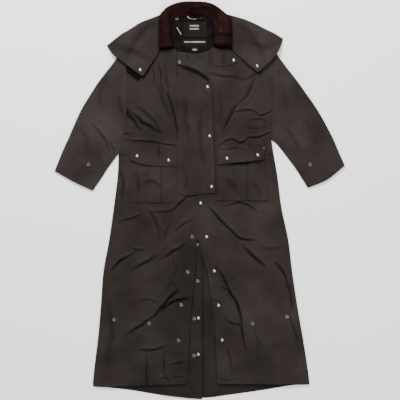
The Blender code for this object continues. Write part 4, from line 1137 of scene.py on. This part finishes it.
CAPS = [
    *on(cape_top, snap_cape_left=(-197, 431), snap_cape_right=(190, 444)),
    *on(tab_top, snap_throat=(112, 463)),
    *on(fly_top, snap_fly_1=(26, 375), snap_fly_2=(33, 213), snap_fly_3=(39, 46)),
    *on(right_top, snap_front=(3, -9)),
    *on(FLAP_TOPS[0], snap_pocket_left_1=(-207, 147), snap_pocket_left_2=(-103, 133)),
    *on(FLAP_TOPS[1], snap_pocket_right_1=(90, 139), snap_pocket_right_2=(192, 150)),
    *on(right_top, snap_row_right_1=(23, -120), snap_row_right_2=(48, -233)),
    *on(right_top, snap_row_right_3=(62, -346), snap_row_right_4=(74, -461)),
    *on(back_left_top, snap_vent_3=(-4, -388), snap_vent_4=(-5, -508)),
]
STUDS = [
    *on(left_top, stud_row_left_1=(-25, -120), stud_row_left_2=(-40, -236)),
    *on(left_top, stud_row_left_3=(-61, -345), stud_row_left_4=(-70, -462)),
    *on(back_left_top, stud_vent_1=(-8, -145), stud_vent_2=(-7, -266)),
    *on(back_left_top, stud_vent_3=(-18, -390), stud_vent_4=(-19, -512)),
    *on(left_top, stud_skirt_left_1=(-283, -393), stud_skirt_left_2=(-167, -406)),
    *on(right_top, stud_skirt_right_1=(174, -407), stud_skirt_right_2=(288, -384)),
    *on(sleeve_top, stud_sleeve_left=(-367, 119), stud_sleeve_right=(364, 119)),
    *on(right_top, stud_neck=(-67, 457)),
    *on(lining_top, stud_collar=(-76, 601)),
]


def fastenings(name, rows, profile, sides=28):
    """One mesh of like fittings. The profile is turned about its axis, with a tone for each of its rings that
    paints glints and shade on the metal, and each copy is tilted to the plane through four points of the
    cloth round it."""
    radius, height = np.array(profile.radius)[:, None], np.array(profile.height)[:, None]
    angle = 2 * np.pi * np.arange(sides) / sides
    turned = np.stack([radius * np.cos(angle), radius * np.sin(angle), height + 0 * angle], -1).reshape(-1, 3)
    r = profile.radius[0]
    clouds = []
    for row in rows:
        xs, ys = row.x + r * np.array([1.0, -1, 0, 0, 0]), row.y + r * np.array([0.0, 0, 1, -1, 0])
        z = row.top(xs, ys)
        slope_x, slope_y = (z[0] - z[1]) / (2 * r), (z[2] - z[3]) / (2 * r)
        axis_z = np.array([-slope_x, -slope_y, 1.0]) / math.sqrt(slope_x**2 + slope_y**2 + 1)
        axis_x = np.cross([0.0, 1.0, 0.0], axis_z)
        axis_x = axis_x / np.linalg.norm(axis_x)
        axes = np.stack([axis_x, np.cross(axis_z, axis_x), axis_z])
        clouds.append(turned @ axes + (row.x, row.y, max(z[:4].mean(), z[4]) + 0.15))
    step = np.arange(len(rows))[:, None, None] * len(turned)
    faces = [(step + part).reshape(-1, part.shape[1]) for part in tube(len(radius), sides)]
    painted_ring_tones = np.tile(np.repeat(profile.polish, sides), len(rows))
    made = piece(name, np.concatenate(clouds), faces, nickel, painted_ring_tones)
    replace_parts(made, *(row.node for row in rows))


fastenings("press_caps", CAPS, CAP)
fastenings("press_rings", STUDS, RING)
fastenings("flap_eyelet", on(FLAP_TOPS[1], eyelet_pocket_right=(212, 172)), EYELET, sides=20)

# The ground and the light are a pale seamless sheet and soft studio lamps. They aren't part of the coat.
HALF, BELOW = 4.0, -0.0003
ground = bpy.data.meshes.new("ground")
corners = [(sx * HALF, sy * HALF, BELOW) for sx, sy in ((-1, -1), (1, -1), (1, 1), (-1, 1))]
ground.from_pydata(corners, [], [(0, 1, 2, 3)])
paper = bpy.data.materials.new("paper")
paper.use_nodes = True
shader = paper.node_tree.nodes["Principled BSDF"]
shader.inputs["Base Color"].default_value = (0.93, 0.93, 0.93, 1.0)
shader.inputs["Roughness"].default_value = 0.9
ground.materials.append(paper)
show("ground", ground)

LampRow = namedtuple("LampRow", "name place aim size power")
for row in [
    LampRow("key", (-0.5, 2.3, 1.9), (0, 0.1, 0), 1.0, 150),
    LampRow("fill", (1.8, -0.6, 2.6), (0, 0, 0), 2.2, 45),
    LampRow("front", (-1.4, -1.8, 2.8), (0, 0, 0), 2.4, 30),
]:
    data = bpy.data.lights.new(row.name, "AREA")
    data.size = row.size
    data.energy = row.power
    lamp = show(row.name, data)
    lamp.location = row.place
    away = np.array(row.aim, float) - np.array(row.place, float)
    tilt = math.acos(-away[2] / np.linalg.norm(away))
    lamp.rotation_euler = (tilt, 0, math.atan2(away[1], away[0]) - math.pi / 2)
world = bpy.data.worlds.new("studio")
world.use_nodes = True
sky = world.node_tree.nodes["Background"]
sky.inputs["Color"].default_value = (1.0, 1.0, 1.0, 1.0)
sky.inputs["Strength"].default_value = 0.9
bpy.context.scene.world = world

PIXEL = 3.3 / 1000
eye = bpy.data.cameras.new("eye")
eye.type = "ORTHO"
eye.ortho_scale = 400 * PIXEL
camera = show("eye", eye)
camera.location = (0.25 * PIXEL, 0.5 * PIXEL, 3.0)
bpy.context.scene.camera = camera
